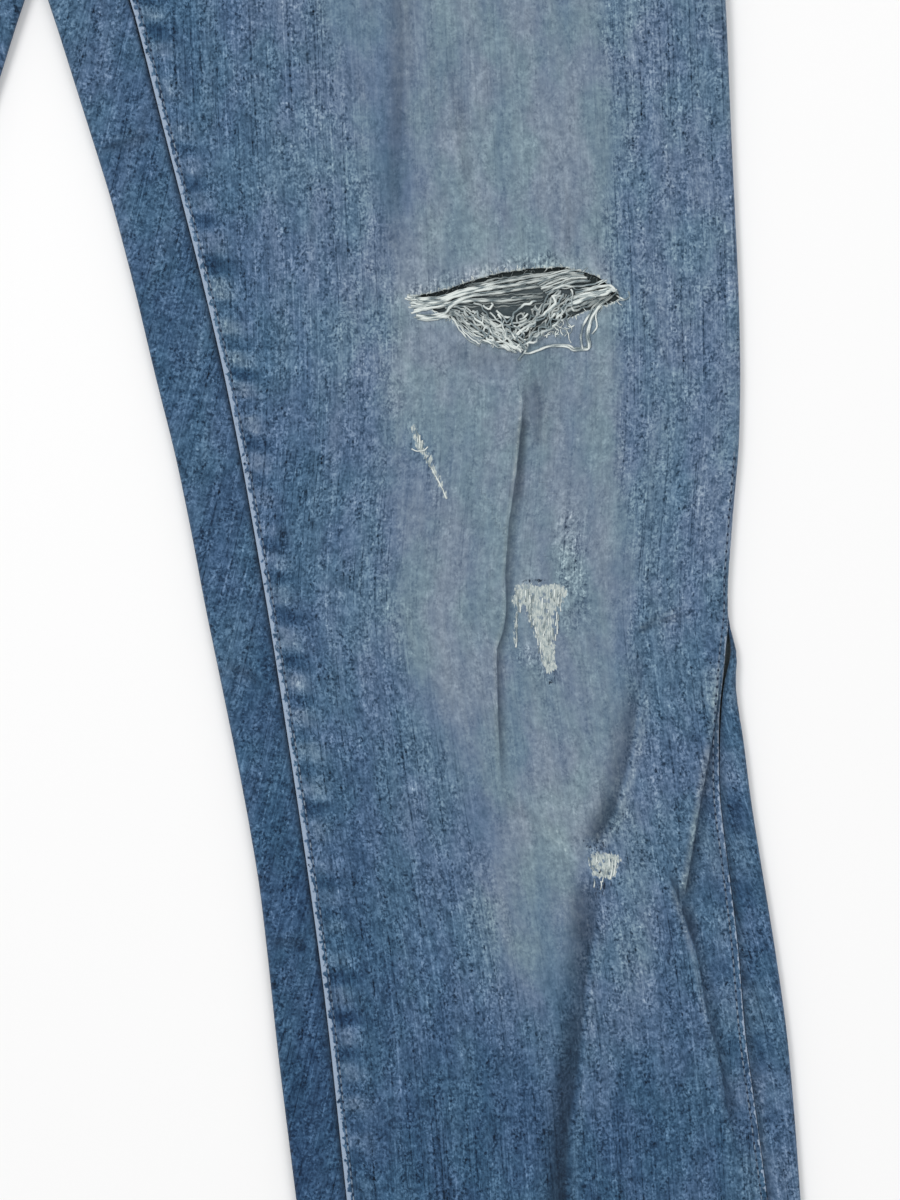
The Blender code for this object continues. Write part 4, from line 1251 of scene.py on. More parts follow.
def stitch(threads, surface, paths, below=False, both=True):
    """Rows of stitches along plan paths of the left side, and the same on the right if asked."""
    for path in paths:
        line = curve_through(path, 1.0)
        reach = np.concatenate(([0], np.cumsum(np.linalg.norm(np.diff(line, axis=0), axis=1))))
        table = np.column_stack((reach, line))
        for middle in np.arange(STITCH_PITCH / 2, reach[-1], STITCH_PITCH):
            spots = middle + STITCH_LENGTH * np.array((-0.5, -0.28, 0.28, 0.5))
            plan = np.stack(columns_at(table, spots), 1)
            tone = DICE.random()
            gap = middle + STITCH_PITCH / 2 + (STITCH_PITCH - STITCH_LENGTH) * np.array((-0.55, 0, 0.55))
            pit_shade = np.stack(columns_at(table, gap), 1)
            for mirror in (1, -1) if both else (1,):
                one_stitch(threads, surface, plan * (mirror, 1), tone, below)
                needle_shade(threads, surface, pit_shade * (mirror, 1), below)


def needle_shade(threads, surface, plan, below):
    """Painted shade of the dent where the thread goes down between two stitches, as a small dark tube."""
    radii = np.array((0.2, 0.42, 0.2) if below else (0.3, 0.6, 0.3))
    heights = [surface_z(surface, x, y, below) for x, y in plan]
    if None in heights:
        return
    z = np.maximum(heights + radii - SUNK, radii + 0.02) if below else np.array(heights) - 0.12
    threads.tube(np.column_stack((plan, z)), radii, 0.0, (1.0, 1.0, 1.0))


def one_stitch(threads, surface, plan, tone, below):
    heights = [surface_z(surface, x, y, below) for x, y in (plan[0], plan.mean(0), plan[-1])]
    if None in heights:
        return
    levels = np.interp((0, 0.22, 0.78, 1), (0, 0.5, 1), heights)
    radii = STITCH_RADIUS * np.array((0.6, 1.0, 1.0, 0.6))
    z = levels + (-0.35, 0.1, 0.1, -0.35)
    if below:
        radii = radii * 1.3
        z = np.maximum(levels + radii - SUNK, radii + 0.02)
    # painted shade at the ends, where the thread dips into the cloth
    threads.tube(np.column_stack((plan, z)), radii, tone, (1.0, 0.15, 0.15, 1.0))


def offset_path(path, distance):
    """A path moved sideways, to its right if the distance is positive."""
    line = curve_through(path, 4.0)
    along = np.gradient(line, axis=0)
    along /= np.linalg.norm(along, axis=1)[:, None]
    return line + np.stack((along[:, 1], -along[:, 0]), 1) * distance


def seam_stitches(surface):
    """Topstitching that shows from above."""
    threads = Threads()
    ys = np.arange(FORK_Y - 4, LEG_END + 2, -9.0)
    inseam = [(outline("inseam", y), y) for y in ys]
    runs = [offset_path(inseam, INSEAM_STITCHES)]
    ys = np.arange(OUTSEAM_TOP_Y, LEG_END + 22, -8.0)
    outseam = [(outline("outer", y) + min(outline("wrap", y), 0.0) - 1.0, y) for y in ys]
    runs.append(offset_path(outseam, OUTSEAM_STITCHES))
    opening = [opening_point(t) for t in np.linspace(0.06, math.pi / 2, 18)]
    runs += [offset_path(opening, d) for d in OPENING_STITCHES]
    stitch(threads, surface, runs)
    stitch(threads, surface, FLY_STITCHES, both=False)
    front_low = [(x, FRONT_BAND_Y + (SIDE_BAND_Y - FRONT_BAND_Y) * x / BAND_HALF_WIDTH) for x in (3, 70, 140, 206)]
    runs = [moved(front_low, 0, rise) for rise in BAND_STITCHES]
    stitch(threads, surface, runs)
    loops = [[(x, FRONT_BAND_Y - 6), (x, FRONT_BAND_Y + BAND_HEIGHT + 2)]
             for x in (FRONT_LOOP_X - LOOP_STITCHES, FRONT_LOOP_X + LOOP_STITCHES)]
    stitch(threads, surface, loops)
    stitch(threads, surface, [[(x, HEM_STITCH_Y + (x - 190) * HEM_SLOPE) for x in (196, 240, 285, 312)]])
    threads.piece("stitches_top", MATERIALS["thread"])


def seat_stitches(surface):
    """Topstitching of the seat, which lies against the surface."""
    threads = Threads()
    (left_top, right_top), (left_low, right_low) = np.array((POCKET_TOP, POCKET_BASE), float)
    point = (left_low + right_low) / 2 - (0, POCKET_POINT_DROP)
    inset = 2.4
    ring = (left_top + (inset, -2), left_low + (inset, 1), point + (0, 2.8), right_low + (-inset, 1),
            right_top + (-inset, -2))
    runs = [[tuple(a), tuple(b)] for a, b in zip(ring, ring[1:])]
    runs.append([tuple(left_top + (inset, -9)), tuple(right_top + (-inset, -9))])
    runs += [[(3, 187 + d), (100, 199 + d), (196, 209.6 + d)] for d in YOKE_STITCHES]
    runs.append([(2.6, 2), (2.6, 90), (2.6, 184)])
    arch = [(x, band_low(x, BACK_BAND_Y)) for x in (4, 60, 120, 180, 204)]
    runs += [moved(arch, 0, rise) for rise in BAND_STITCHES]
    stitch(threads, surface, runs, below=True)
    threads.piece("stitches_seat", MATERIALS["thread"])


# Strands of the knee rip as plan paths
LEFT_STRANDS = (
    ((148.5, -134.5), (154, -135.5), (162, -135), (170, -132.5), (178, -130.5), (187, -128.5), (196, -127),
     (206, -125.5), (214, -124.5)),
    ((150.5, -136.5), (157, -137), (163.5, -136), (169, -134), (175, -132.5), (183, -131), (190, -130),
     (198, -128.5), (205, -127.5), (212, -127)),
    ((151, -140.5), (157, -139), (163.5, -138), (168, -136.5), (173, -134.5), (180, -133.5), (188, -132.5),
     (196, -131), (204, -130)),
    ((152, -142), (158.5, -142.5), (163.5, -141.5), (165.5, -139), (168, -137.2), (173, -136.2), (180, -136.2),
     (188, -136), (195, -135.2), (200, -134)),
    ((153.5, -143), (159, -143.4), (164, -142.4), (168, -141)),
    ((150, -138), (156, -138.2), (162, -137), (166, -136)),
)
UPPER_STRANDS = (
    ((171, -130.5), (180, -128.2), (189, -126.6), (197, -125.6), (204, -125), (210, -124.6), (216, -125.4)),
    ((171, -132), (180, -129.6), (189, -128.2), (197, -126.6), (202, -125.6), (208, -125.2)),
    ((173.5, -134), (180, -132.5), (188, -130.5), (193, -130), (199, -128.5), (207, -127), (213, -126.5)),
    ((175, -136), (183, -136), (190, -135), (197, -134.3), (202, -133.6)),
    ((202, -131), (208, -130), (215, -130.5), (222, -130), (227.5, -127.5)),
)
# Bundles, columns: first strand, last strand, how many, radius, lifts, sag, waver
BUNDLES = (
    (((200, -127.5), (206, -125.3), (212, -124.2), (218, -123.8)),                           # clump
     ((204, -133.5), (210, -130.8), (216, -128.6), (221.5, -128.6)), 18, 0.36, (0.0, 1.1), 0.3, 0.25),
    (((216, -133), (222, -131), (226.5, -129.8), (230, -130.3), (232.5, -132.5)),            # right end
     ((212, -138), (218, -136.4), (224, -134.6), (228, -133.2), (231, -131.6)), 15, 0.40, (0.0, 1.0), 0.3, 0.25),
    (((210, -139), (216, -137.5), (223, -135), (229, -132.5)),                               # and below it
     ((206, -143), (214, -140.5), (222, -137.5), (229, -133.5)), 7, 0.42, (0.0, 0.6), 0.5, 0.8),
    (((163, -137.2), (170, -138.2), (178, -142), (186, -146)),                               # fan from the left end
     ((166, -142), (169, -146.5), (173, -151.5), (177, -154.2)), 13, 0.34, (0.0, 0.9), 0.6, 0.9),
    (((182, -146), (186, -149), (190, -152), (195.5, -156)),                                 # tuft on the lower lip
     ((178, -152.5), (182, -153.6), (187, -155), (192, -156.4)), 8, 0.32, (0.0, 0.7), 0.8, 0.9),
    (((168, -140.5), (174, -145.5), (181, -151), (189, -156.2)),                             # crimped, down to the lip
     ((184, -141), (188, -145.5), (192, -150), (197, -154.5)), 7, 0.42, (0.2, 1.3), 0.6, 1.9),
    (((188, -150.5), (194, -145), (199, -141.5), (204, -136.5), (208, -131.5)),              # and up to the clump
     ((197, -154.5), (203, -149), (208, -145), (212, -140.5), (215, -135)), 8, 0.44, (0.2, 1.5), 0.6, 2.1),
)
TANGLE = (
    ((175, -136.4), (178, -138), (180, -141), (181.5, -144.5), (184, -147), (189, -145.5), (193.5, -145), (197, -143)),
    ((200.5, -136.5), (195.5, -138), (191.5, -141), (190.5, -144), (192, -146.5)),
    ((203, -137), (201, -140), (199, -144.5), (196, -146.5), (192.5, -144.5), (192, -142), (194.5, -141),
     (195.5, -143), (193.5, -144.5)),
    ((212, -127.5), (209, -130), (206, -132.5), (204, -135), (202, -139), (201, -142), (199, -145)),
    ((210.5, -129.5), (208, -133), (206, -136), (205.5, -139), (208, -140), (210, -137.5), (212, -135.5),
     (209, -134.5), (206.5, -136.5)),
    ((217, -136.5), (213, -137.5), (210.5, -139.5), (208.5, -142), (208, -144.5), (205, -146.5)),
    ((199, -139.5), (202, -141.5), (205, -142.5), (207, -141.5), (206, -139)),
    ((182, -146), (186, -148), (189, -149.5), (192, -151), (194, -153.5), (196, -156)),
    ((180, -146), (182.5, -148), (186, -150), (187.5, -153), (192, -155.5), (194.5, -156.5)),
    ((187.5, -148), (190, -146.5), (192.5, -147.5), (191, -150.5), (187.5, -150.5), (186, -148.5)),
    ((179, -138), (181.5, -139.5), (183, -138), (181.5, -136.8)),
    ((184, -140), (187, -142.5), (186, -145.5), (183, -146.5)),
)
LOOSE = (
    ((232, -133), (229, -135.5), (224.5, -139.5), (221.5, -145), (220.5, -150), (221, -154), (220.5, -155.7),
     (215, -156), (212.5, -154.5), (205.5, -154.5), (201, -156), (197, -157.3), (195, -157)),
    ((230, -133.5), (226, -137.5), (224, -142), (224.5, -146.5), (222.5, -149.5)),
    ((229.5, -133), (224, -137.5), (221.5, -141.5), (219.5, -145), (218, -150), (218.8, -155.5)),
    ((196, -144), (197, -146.5), (197.7, -149.5), (197, -153.5), (195.5, -156.5), (193, -160)),
    ((232, -133.5), (235.5, -135.7), (237.5, -134.3), (237, -132.5)),
)

# The curled yarns' place, columns: x, upper edge, lower edge
TANGLE_EDGES = ((166, -139.5, -142), (172, -138, -147.5), (180, -141, -153), (190, -142.5, -156.5),
                (198, -138.5, -152), (206, -133.5, -147.5), (214, -131, -142), (218, -132, -138))
TANGLE_BOX = ((166, 218), (-157, -130))
TANGLE_CURLS = 62
LIP_BOX = ((203, 213), (-150, -144))
LIP_CURLS = 26         # the fine ones over the lower lip
CRIMP_STEP = 1.4       # from one point of a curl to the next
# Slack strands across the open gap, columns: y of the left end, y of the right end
GAP_STRANDS = ((-133.5, -133), (-135.2, -134.6), (-137, -135.8), (-138.6, -137))
# Broken hairs round the rip, columns: lip, side they point to, how many
LIP_HAIRS = ((UPPER_LIP, 1, 60), (LOWER_LIP, -1, 90))
PATCH_HAIRS = 60
PATCH_TOP = -251.5
PATCH_LOW = ((192, -259), (197, -261), (199, -268), (203, -281), (207, -280), (210, -257))      # (x, y)
# Loosened yarns of the small worn hole and the scratch, columns: x, y, x and y of the end
SMALL_STRANDS = (
    (221, -359, 222.5, -363.5), (223, -358, 225.2, -361.5), (224.6, -358, 223, -364.5),
    (229.2, -359.5, 228.8, -366), (230.6, -359.4, 229.6, -368), (231.8, -360, 231, -366.5),
    (227.6, -363, 226.6, -369), (223.4, -367.5, 223.2, -371), (226, -368.6, 225.8, -372),
    (152, -188, 152.6, -192.5), (153.4, -190, 153, -195.4), (154.6, -192, 154.2, -196.2),
    (155.6, -199, 160, -207), (159.6, -206, 164.2, -215.6))


class Loose:
    """Lays loose threads over the shells."""

    def __init__(self, surface):
        self.surface = surface
        self.threads = Threads()

    def lay(self, path, radius, lift, sag=1.0, tone=None, waver=0.25, ends=0.0):
        """One thread: sag 0 is stretched between its ends, 1 follows the cloth under it."""
        tone = DICE.random() if tone is None else tone
        line = curve_through([(*p, 0) for p in path], 0.9)
        seed = DICE.uniform(0, 90)
        for i, point in enumerate(line):
            point[0] += waver * noise.noise(Vector((seed, i * 0.35, 0)))
            point[1] += waver * noise.noise(Vector((seed, i * 0.35, 7)))
        under = np.array([surface_z(self.surface, x, y) or 0.0 for x, y, _ in line])
        resting = smooth(under, 1.6) if len(under) > 3 else under
        taut = np.linspace(under[0], under[-1], len(under))
        z = np.maximum(taut * (1 - sag) + resting * sag, under) + radius + lift
        if ends:
            share = np.linspace(0, 1, len(z))
            z -= (lift + radius) * ends * (clamp(1 - share / 0.12) + clamp((share - 0.88) / 0.12))
        line[:, 2] = z
        # painted shade: the lower the thread lies, the darker
        shade = clamp((2.6 - z) / 1.6)
        chunks = np.array([1.3 * noise.noise(Vector((seed, i * 0.22, 20))) for i in range(len(line))])
        self.threads.tube(line, radius * np.clip(1 + 0.45 * chunks, 0.45, 1.5), tone + 1.4 * chunks, shade)

    def bundle(self, first, last, count, radius, lifts, sag, waver):
        """Strands between two paths, each a little out of line."""
        first, last = np.array(first, float), np.array(last, float)
        for share in np.linspace(0, 1, count):
            path = first + (last - first) * share
            path = path + np.array([(DICE.uniform(-0.5, 0.5), DICE.uniform(-0.45, 0.45)) for _ in path])
            self.lay(path.tolist(), radius * DICE.uniform(0.75, 1.2), DICE.uniform(*lifts), sag=sag, waver=waver)

    def curl(self, x, y, length, radius, lift, inside):
        """A crimped yarn that wanders from a point while it stays inside."""
        heading, bend = DICE.uniform(0, 2 * math.pi), DICE.uniform(-0.3, 0.3)
        path = [(x, y)]
        for _ in range(int(length / CRIMP_STEP)):
            bend = max(min(bend + DICE.uniform(-0.7, 0.7), 0.8), -0.8)
            heading += bend
            step = (path[-1][0] + CRIMP_STEP * math.cos(heading), path[-1][1] + CRIMP_STEP * math.sin(heading))
            if not inside(*step):
                heading += 2.2
                continue
            path.append(step)
        if len(path) > 2:
            self.lay(path, radius, lift)


def in_tangle(x, y):
    """Where the curled yarns of the rip lie: below the open gap, above the lower lip."""
    upper, lower = columns_at(TANGLE_EDGES, x)
    return TANGLE_EDGES[0][0] < x < TANGLE_EDGES[-1][0] and lower < y < upper


def rip_threads(surface):
    """White weft yarns across the rip, frayed and tangled."""
    loose = Loose(surface)
    for path in LEFT_STRANDS:
        loose.lay(path, 0.46, 0.2, sag=0.35, tone=0.75, ends=1.0)
        loose.lay(moved(path, 0, 0.7), 0.34, 0.1, sag=0.35, ends=1.0)
        loose.lay(moved(path[:5], -1, -0.6), 0.34, 0.25, sag=0.5, tone=0.8, waver=0.6, ends=1.0)
    for path in UPPER_STRANDS:
        loose.lay(path, 0.36, 0.2, sag=0.4, waver=0.8, ends=1.0)
        loose.lay(moved(path, 1, -0.6), 0.26, 0.1, sag=0.4, waver=0.9, ends=1.0)
    for bundle in BUNDLES:
        loose.bundle(*bundle)
    for _ in range(LIP_CURLS):
        x, y = (DICE.uniform(*span) for span in LIP_BOX)
        loose.curl(x, y, DICE.uniform(3, 6), DICE.uniform(0.16, 0.26), DICE.uniform(0.0, 0.4), lambda *place: True)
    for path in TANGLE:
        loose.lay(path, 0.42, DICE.uniform(0.2, 1.2), sag=0.7, waver=1.1)
    for path in LOOSE:
        loose.lay(path, 0.42 if len(path) > 5 else 0.3, 0.1)
    loose.lay(moved(LOOSE[0][:11], 0.7, 0.5), 0.38, 0.15)
    loose.lay(moved(LOOSE[0][1:8], -0.3, 0.9), 0.3, 0.3)
    for start, end in GAP_STRANDS:
        middle = (start + end) / 2 - 0.6
        loose.lay([(168, start), (178, middle), (190, middle + 0.3), (203, end)], 0.3, 0.0,
                  sag=0.9, tone=0.7, waver=0.8)
    curls = 0
    while curls < TANGLE_CURLS:
        x, y = (DICE.uniform(*span) for span in TANGLE_BOX)
        if in_tangle(x, y):
            curls += 1
            loose.curl(x, y, DICE.uniform(3.5, 9), DICE.uniform(0.28, 0.48), DICE.uniform(0.0, 1.4), in_tangle)
    fray(loose)
    loose.threads.piece("rip_threads", MATERIALS["yarn"])


def fray(loose):
    """Short broken hairs round the lips, and the loosened yarns of the smaller worn places."""
    for lip, outward, count in LIP_HAIRS:
        line = curve_through(lip, 0.5)
        for _ in range(count):
            x, y = line[DICE.randrange(len(line))]
            heading = outward * math.pi / 2 + DICE.uniform(-1.4, 1.4)
            if DICE.random() < 0.55:
                heading += math.pi
            length = DICE.uniform(0.8, 2.8)
            bend = DICE.uniform(-0.8, 0.8)
            path = [(x + t * length * math.cos(heading + bend * t), y + t * length * math.sin(heading + bend * t))
                    for t in (0, 0.35, 0.7, 1)]
            loose.lay(path, DICE.uniform(0.12, 0.2), 0.05, waver=0.1)
    for _ in range(PATCH_HAIRS):
        x = DICE.uniform(192, 210)
        low = columns_at(PATCH_LOW, x)[0]
        y = DICE.uniform(low, PATCH_TOP)
        length = DICE.uniform(2.0, 5.5)
        loose.lay([(x, y), (x + DICE.uniform(-0.4, 0.4), max(y - length, low - 1.5))], DICE.uniform(0.2, 0.3), -0.12,
                  waver=0.3)
    loose.lay([(192.8, -261.5), (192.1, -266), (192.4, -271), (192, -275)], 0.34, 0.0)
    for x, y, x_end, y_end in SMALL_STRANDS:
        loose.lay([(x, y), ((x + x_end) / 2 + 0.3, (y + y_end) / 2), (x_end, y_end)], 0.27, -0.08, waver=0.3)
    loose.lay([(150.2, -195.4), (152.5, -196.4), (155, -196.2), (156.8, -194.6)], 0.24, 0.15)


# ------------------------------------------------------------------ materials
def linear(r, g, b):
    """Scene colour of an 8-bit sRGB colour."""
    shares = (value / 255 for value in (r, g, b))
    return (*(v / 12.92 if v <= 0.04045 else ((v + 0.055) / 1.055) ** 2.4 for v in shares), 1.0)


def fill(node, **values):
    """Set inputs of a node."""
    for key, value in values.items():
        node.inputs[key].default_value = value


class Nodes:
    """Short forms for the nodes of one material."""

    def __init__(self, name):
        self.material = bpy.data.materials.new(name)
        self.material.use_nodes = True
        self.tree = self.material.node_tree
        self.shader = self.tree.nodes["Principled BSDF"]

    def add(self, kind, **settings):
        node = self.tree.nodes.new(kind)
        for key, value in settings.items():
            setattr(node, key, value)
        return node

    def link(self, source, target):
        self.tree.links.new(source, target)

    def put(self, value, socket):
        if isinstance(value, (int, float, tuple)):
            socket.default_value = value
        else:
            self.link(value, socket)

    def attribute(self, name, vector=False):
        node = self.add("ShaderNodeAttribute", attribute_name=name)
        return node.outputs["Vector" if vector else "Fac"]

    def plus(self, a, b):
        return self.math("ADD", a, b)

    def minus(self, a, b):
        return self.math("SUBTRACT", a, b)

    def times(self, a, b, clamp=False):
        return self.math("MULTIPLY", a, b, clamp)

    def math(self, operation, a, b=0.0, clamp=False):
        node = self.add("ShaderNodeMath", operation=operation, use_clamp=clamp)
        self.put(a, node.inputs[0])
        self.put(b, node.inputs[1])
        return node.outputs[0]

    def placed(self, vector, across, along, shift, turn):
        """Coordinates in cells of across x along millimetres, turned by an angle in degrees."""
        if turn:
            turned = self.add("ShaderNodeVectorRotate", rotation_type="Z_AXIS")
            self.link(vector, turned.inputs["Vector"])
            fill(turned, Angle=math.radians(turn))
            vector = turned.outputs[0]
        mapping = self.add("ShaderNodeMapping", vector_type="POINT")
        self.link(vector, mapping.inputs["Vector"])
        fill(mapping, Scale=(1000 / across, 1000 / along, 1), Location=(shift, shift, shift))
        return mapping.outputs[0]

    def noise(self, vector, across, along, detail=2.0, rough=0.5, shift=0.0, turn=0.0):
        """Noise with features across x along millimetres, centred on 0."""
        texture = self.add("ShaderNodeTexNoise")
        self.link(self.placed(vector, across, along, shift, turn), texture.inputs["Vector"])
        fill(texture, Scale=1.0, Detail=detail, Roughness=rough)
        return self.minus(texture.outputs["Fac"], 0.5)

    def cells(self, vector, across, along, shift=0.0, turn=0.0):
        """Small uneven cells of across x along millimetres, each with a value of its own round 0."""
        texture = self.add("ShaderNodeTexVoronoi", voronoi_dimensions="2D")
        self.link(self.placed(vector, across, along, shift, turn), texture.inputs["Vector"])
        fill(texture, Scale=1.0)
        return self.minus(texture.outputs["Color"], 0.5)

    def range(self, value, low, high, to_low=0.0, to_high=1.0):
        node = self.add("ShaderNodeMapRange", clamp=True, interpolation_type="SMOOTHSTEP")
        self.link(value, node.inputs[0])
        for socket, number in zip(node.inputs[1:5], (low, high, to_low, to_high)):
            socket.default_value = number
        return node.outputs[0]

    def mix(self, factor, a, b, blend="MIX"):
        node = self.add("ShaderNodeMix", data_type="RGBA", blend_type=blend)
        self.put(factor, node.inputs["Factor"])
        self.put(a, node.inputs["A"])
        self.put(b, node.inputs["B"])
        return node.outputs["Result"]

    def ramp(self, factor, stops):
        node = self.add("ShaderNodeValToRGB")
        self.link(factor, node.inputs[0])
        elements = node.color_ramp.elements
        while len(elements) < len(stops):
            elements.new(0.5)
        for element, (place, colour) in zip(elements, stops):
            element.position = place
            element.color = colour
        return node.outputs[0]

    def weighted(self, *terms):
        """Sum of value x weight."""
        total = None
        for value, weight in terms:
            part = self.times(value, weight)
            total = part if total is None else self.plus(total, part)
        return total

    def finish(self, colour, roughness, looks, height, strength, distance):
        """Join colour, roughness, the shader's other looks and a bump in metres to the shader."""
        self.put(colour, self.shader.inputs["Base Color"])
        fill(self.shader, **looks)
        self.put(roughness, self.shader.inputs["Roughness"])
        bump = self.add("ShaderNodeBump")
        fill(bump, Strength=strength, Distance=distance)
        self.link(height, bump.inputs["Height"])
        self.link(bump.outputs[0], self.shader.inputs["Normal"])
        return self.material


INDIGO = ((0.0, linear(28, 58, 90)), (0.25, linear(53, 83, 113)), (0.45, linear(76, 103, 131)),
          (0.62, linear(97, 119, 143)), (0.78, linear(115, 133, 149)), (0.92, linear(134, 150, 162)),
          (1.0, linear(158, 171, 178)))
TURNED_EDGE = linear(158, 176, 198)
BARE_LIGHT = linear(196, 204, 200)
BARE_DARK = linear(142, 157, 162)
SHADOW = linear(26, 39, 55)
GREENISH = (0.96, 1.015, 0.985, 1.0)     # slight casts over the indigo
VIOLET = (1.035, 0.99, 1.015, 1.0)


def denim_material(name, darker=0.0):
    """Washed indigo twill: pale and dark flecks that fade where it is worn smooth."""
    n = Nodes(name)
    cloth = n.attribute("cloth", vector=True)
    fade, rubbed, wear, slot, shade, fold, depth, seam = (n.attribute(key) for key in FACE_NUMBERS)
    streak = n.noise(cloth, 0.9, 30, 3, 0.6, 4)
    slub = n.noise(cloth, 0.9, 7, 2, 0.6, 9)
    yarn = n.noise(cloth, 0.8, 1.0, 3, 0.7, 2)
    twill = n.cells(cloth, 0.7, 1.8, 12, turn=25)
    speck = n.cells(cloth, 0.8, 0.95, 50)
    crinkle = n.minus(n.noise(cloth, 1.0, 1.3, 1, 0.5, 90), n.noise(cloth, 1.0, 1.3, 1, 0.5, 90.45))
    crinkle = n.range(crinkle, -0.09, 0.09, -0.5, 0.5)
    mottle = n.noise(cloth, 2.6, 3.4, 2, 0.6, 18)
    blotch = n.noise(cloth, 5, 14, 2, 0.6, 21)
    cloud = n.noise(cloth, 12, 60, 3, 0.6, 30)
    crowd = n.range(n.noise(cloth, 4, 14, 2, 0.6, 61), -0.12, 0.12, 0.45, 1.55)
    line = n.noise(cloth, 1.1, 90, 1, 0.5, 70)
    pits = n.minus(n.range(speck, 0.24, 0.36, 0, 0.14), n.range(speck, -0.20, -0.34, 0, 0.20))
    pits = n.plus(pits, n.times(crinkle, 0.25))
    lines = n.minus(n.range(line, 0.12, 0.19, 0, 0.17), n.range(line, -0.12, -0.19, 0, 0.24))
    lines = n.times(lines, n.range(n.noise(cloth, 1.3, 2.0, 1, 0.5, 75), -0.1, 0.1, 0.5, 1.7))
    fine = n.weighted((streak, 0.45), (slub, 0.5), (yarn, 0.6), (twill, 0.20), (lines, 1.0),
                      (n.times(pits, crowd), 1.0))
    broad = n.weighted((mottle, 0.75), (blotch, 0.5))
    detail = n.plus(n.times(fine, n.range(rubbed, 0.0, 1.0, 0.86, 0.26)),
                    n.times(broad, n.range(rubbed, 0.0, 1.0, 1.1, 0.65)))
    tone = n.weighted((fade, 1.0), (cloud, 0.42), (detail, 0.5))
    hollow = n.times(n.range(fold, -0.05, 0.10), n.range(fold, 0.15, 1.1, 1.0, 0.0))
    # paler line along a crease's raised edge: painted highlight
    crest_highlight = n.times(n.range(fold, -0.55, -0.18), n.range(fold, -0.12, 0.0, 1.0, 0.0))
    tone = n.plus(tone, n.times(n.times(crest_highlight, depth), 0.24))
    colour = n.ramp(n.minus(tone, darker), INDIGO)
    colour = n.mix(1.0, colour, n.plus(n.times(detail, 1.2), 1.0), "MULTIPLY")
    hue = n.range(n.noise(cloth, 20, 34, 2, 0.5, 80), -0.13, 0.13)
    colour = n.mix(1.0, colour, n.mix(hue, GREENISH, VIOLET), "MULTIPLY")
    beads = n.plus(seam, n.weighted((n.noise(cloth, 1.8, 2.2, 1, 0.5, 44), 5.0), (yarn, 1.2)))
    colour = n.mix(n.range(beads, 1.6, 0.9, 0.0, 0.92), colour, TURNED_EDGE)
    # painted shade in the hollow of a crease
    colour = n.mix(n.times(n.times(hollow, depth), 1.0, clamp=True), colour, SHADOW)
    thread = n.noise(cloth, 0.7, 2.6, 3, 0.7, 40)
    bare = n.plus(wear, n.weighted((thread, 5.0), (mottle, 3.0)))
    white = n.mix(n.range(thread, -0.14, 0.12), BARE_DARK, BARE_LIGHT)
    kept = n.range(n.cells(cloth, 0.9, 1.3, 33), 0.24, 0.32, 1.0, 0.25)
    colour = n.mix(n.times(n.range(bare, -0.3, 0.3), kept), colour, white)
    gap = n.plus(slot, n.weighted((yarn, 2.5), (thread, 3.0)))
    colour = n.mix(n.range(gap, -0.3, 0.3), colour, SHADOW)
    # painted shade of seam grooves, folds and puckers, broken up by the yarn
    shade = n.times(shade, n.plus(n.times(yarn, 1.6), 1.0), clamp=True)
    colour = n.mix(shade, colour, n.mix(0.85, colour, SHADOW))
    height = n.weighted((yarn, 1.0), (slub, 0.8), (twill, 0.4), (mottle, 1.0), (pits, 0.7))
    looks = {"Specular IOR Level": 0.2, "Sheen Weight": 0.1, "Sheen Roughness": 0.5}
    return n.finish(colour, 0.92, looks, height, 0.6, 0.0004)


def thread_material(name, colours, dark):
    """Spun yarn: a tone of its own for each thread, darkened by painted shade where it dips or lies low."""
    n = Nodes(name)
    place = n.add("ShaderNodeTexCoord").outputs["Object"]
    tone, shade = n.attribute("tone"), n.attribute("shade")
    fibre = n.noise(place, 0.5, 0.5, 2, 0.6, 3)
    tone = n.plus(tone, n.times(fibre, 0.9))
    colour = n.ramp(tone, ((0.0, colours[0]), (1.0, colours[1])))
    colour = n.mix(n.times(shade, 1.0, clamp=True), colour, dark)
    return n.finish(colour, 0.85, {"Specular IOR Level": 0.25, "Sheen Weight": 0.15}, fibre, 0.5, 0.0002)


def reverse_material():
    """Wrong side of the twill: the pale weft shows, dulled by indigo; its tones are kept darker as painted shade, and
    darker still with the painted shadow under the rip.
    """
    n = Nodes("reverse")
    cloth = n.attribute("cloth", vector=True)
    inner_shadow = n.attribute("inner_shadow")
    yarn = n.noise(cloth, 1.6, 0.7, 3, 0.7, 5)
    cloud = n.noise(cloth, 14, 14, 3, 0.6, 8)
    tone = n.plus(n.weighted((yarn, 1.4), (cloud, 0.7)), 0.5)
    # tones darker than the real wrong side: painted shade
    colour = n.ramp(tone, ((0.0, linear(62, 78, 92)), (0.5, linear(100, 112, 118)), (1.0, linear(140, 148, 148))))
    # painted shadow under the rip
    colour = n.mix(n.times(inner_shadow, 1.0, clamp=True), colour, linear(44, 52, 53))
    return n.finish(colour, 0.95, {"Specular IOR Level": 0.15}, yarn, 0.5, 0.0003)


def metal_material(name, colour, tarnish, rough):
    """Worn fastener metal, tarnished in patches."""
    n = Nodes(name)
    place = n.add("ShaderNodeTexCoord").outputs["Object"]
    patch = n.noise(place, 2.2, 2.2, 4, 0.6, 1)
    scratch = n.noise(place, 0.25, 3.0, 2, 0.5, 6)
    mixed = n.mix(n.range(n.weighted((patch, 1.0), (scratch, 0.4)), -0.05, 0.2), colour, tarnish)
    roughness = n.range(patch, -0.2, 0.25, rough - 0.1, rough + 0.2)
    return n.finish(mixed, roughness, {"Metallic": 1.0}, scratch, 0.3, 0.0001)


def plain_material(name, colour, roughness):
    n = Nodes(name)
    fill(n.shader, **{"Base Color": colour, "Roughness": roughness})
    return n.material


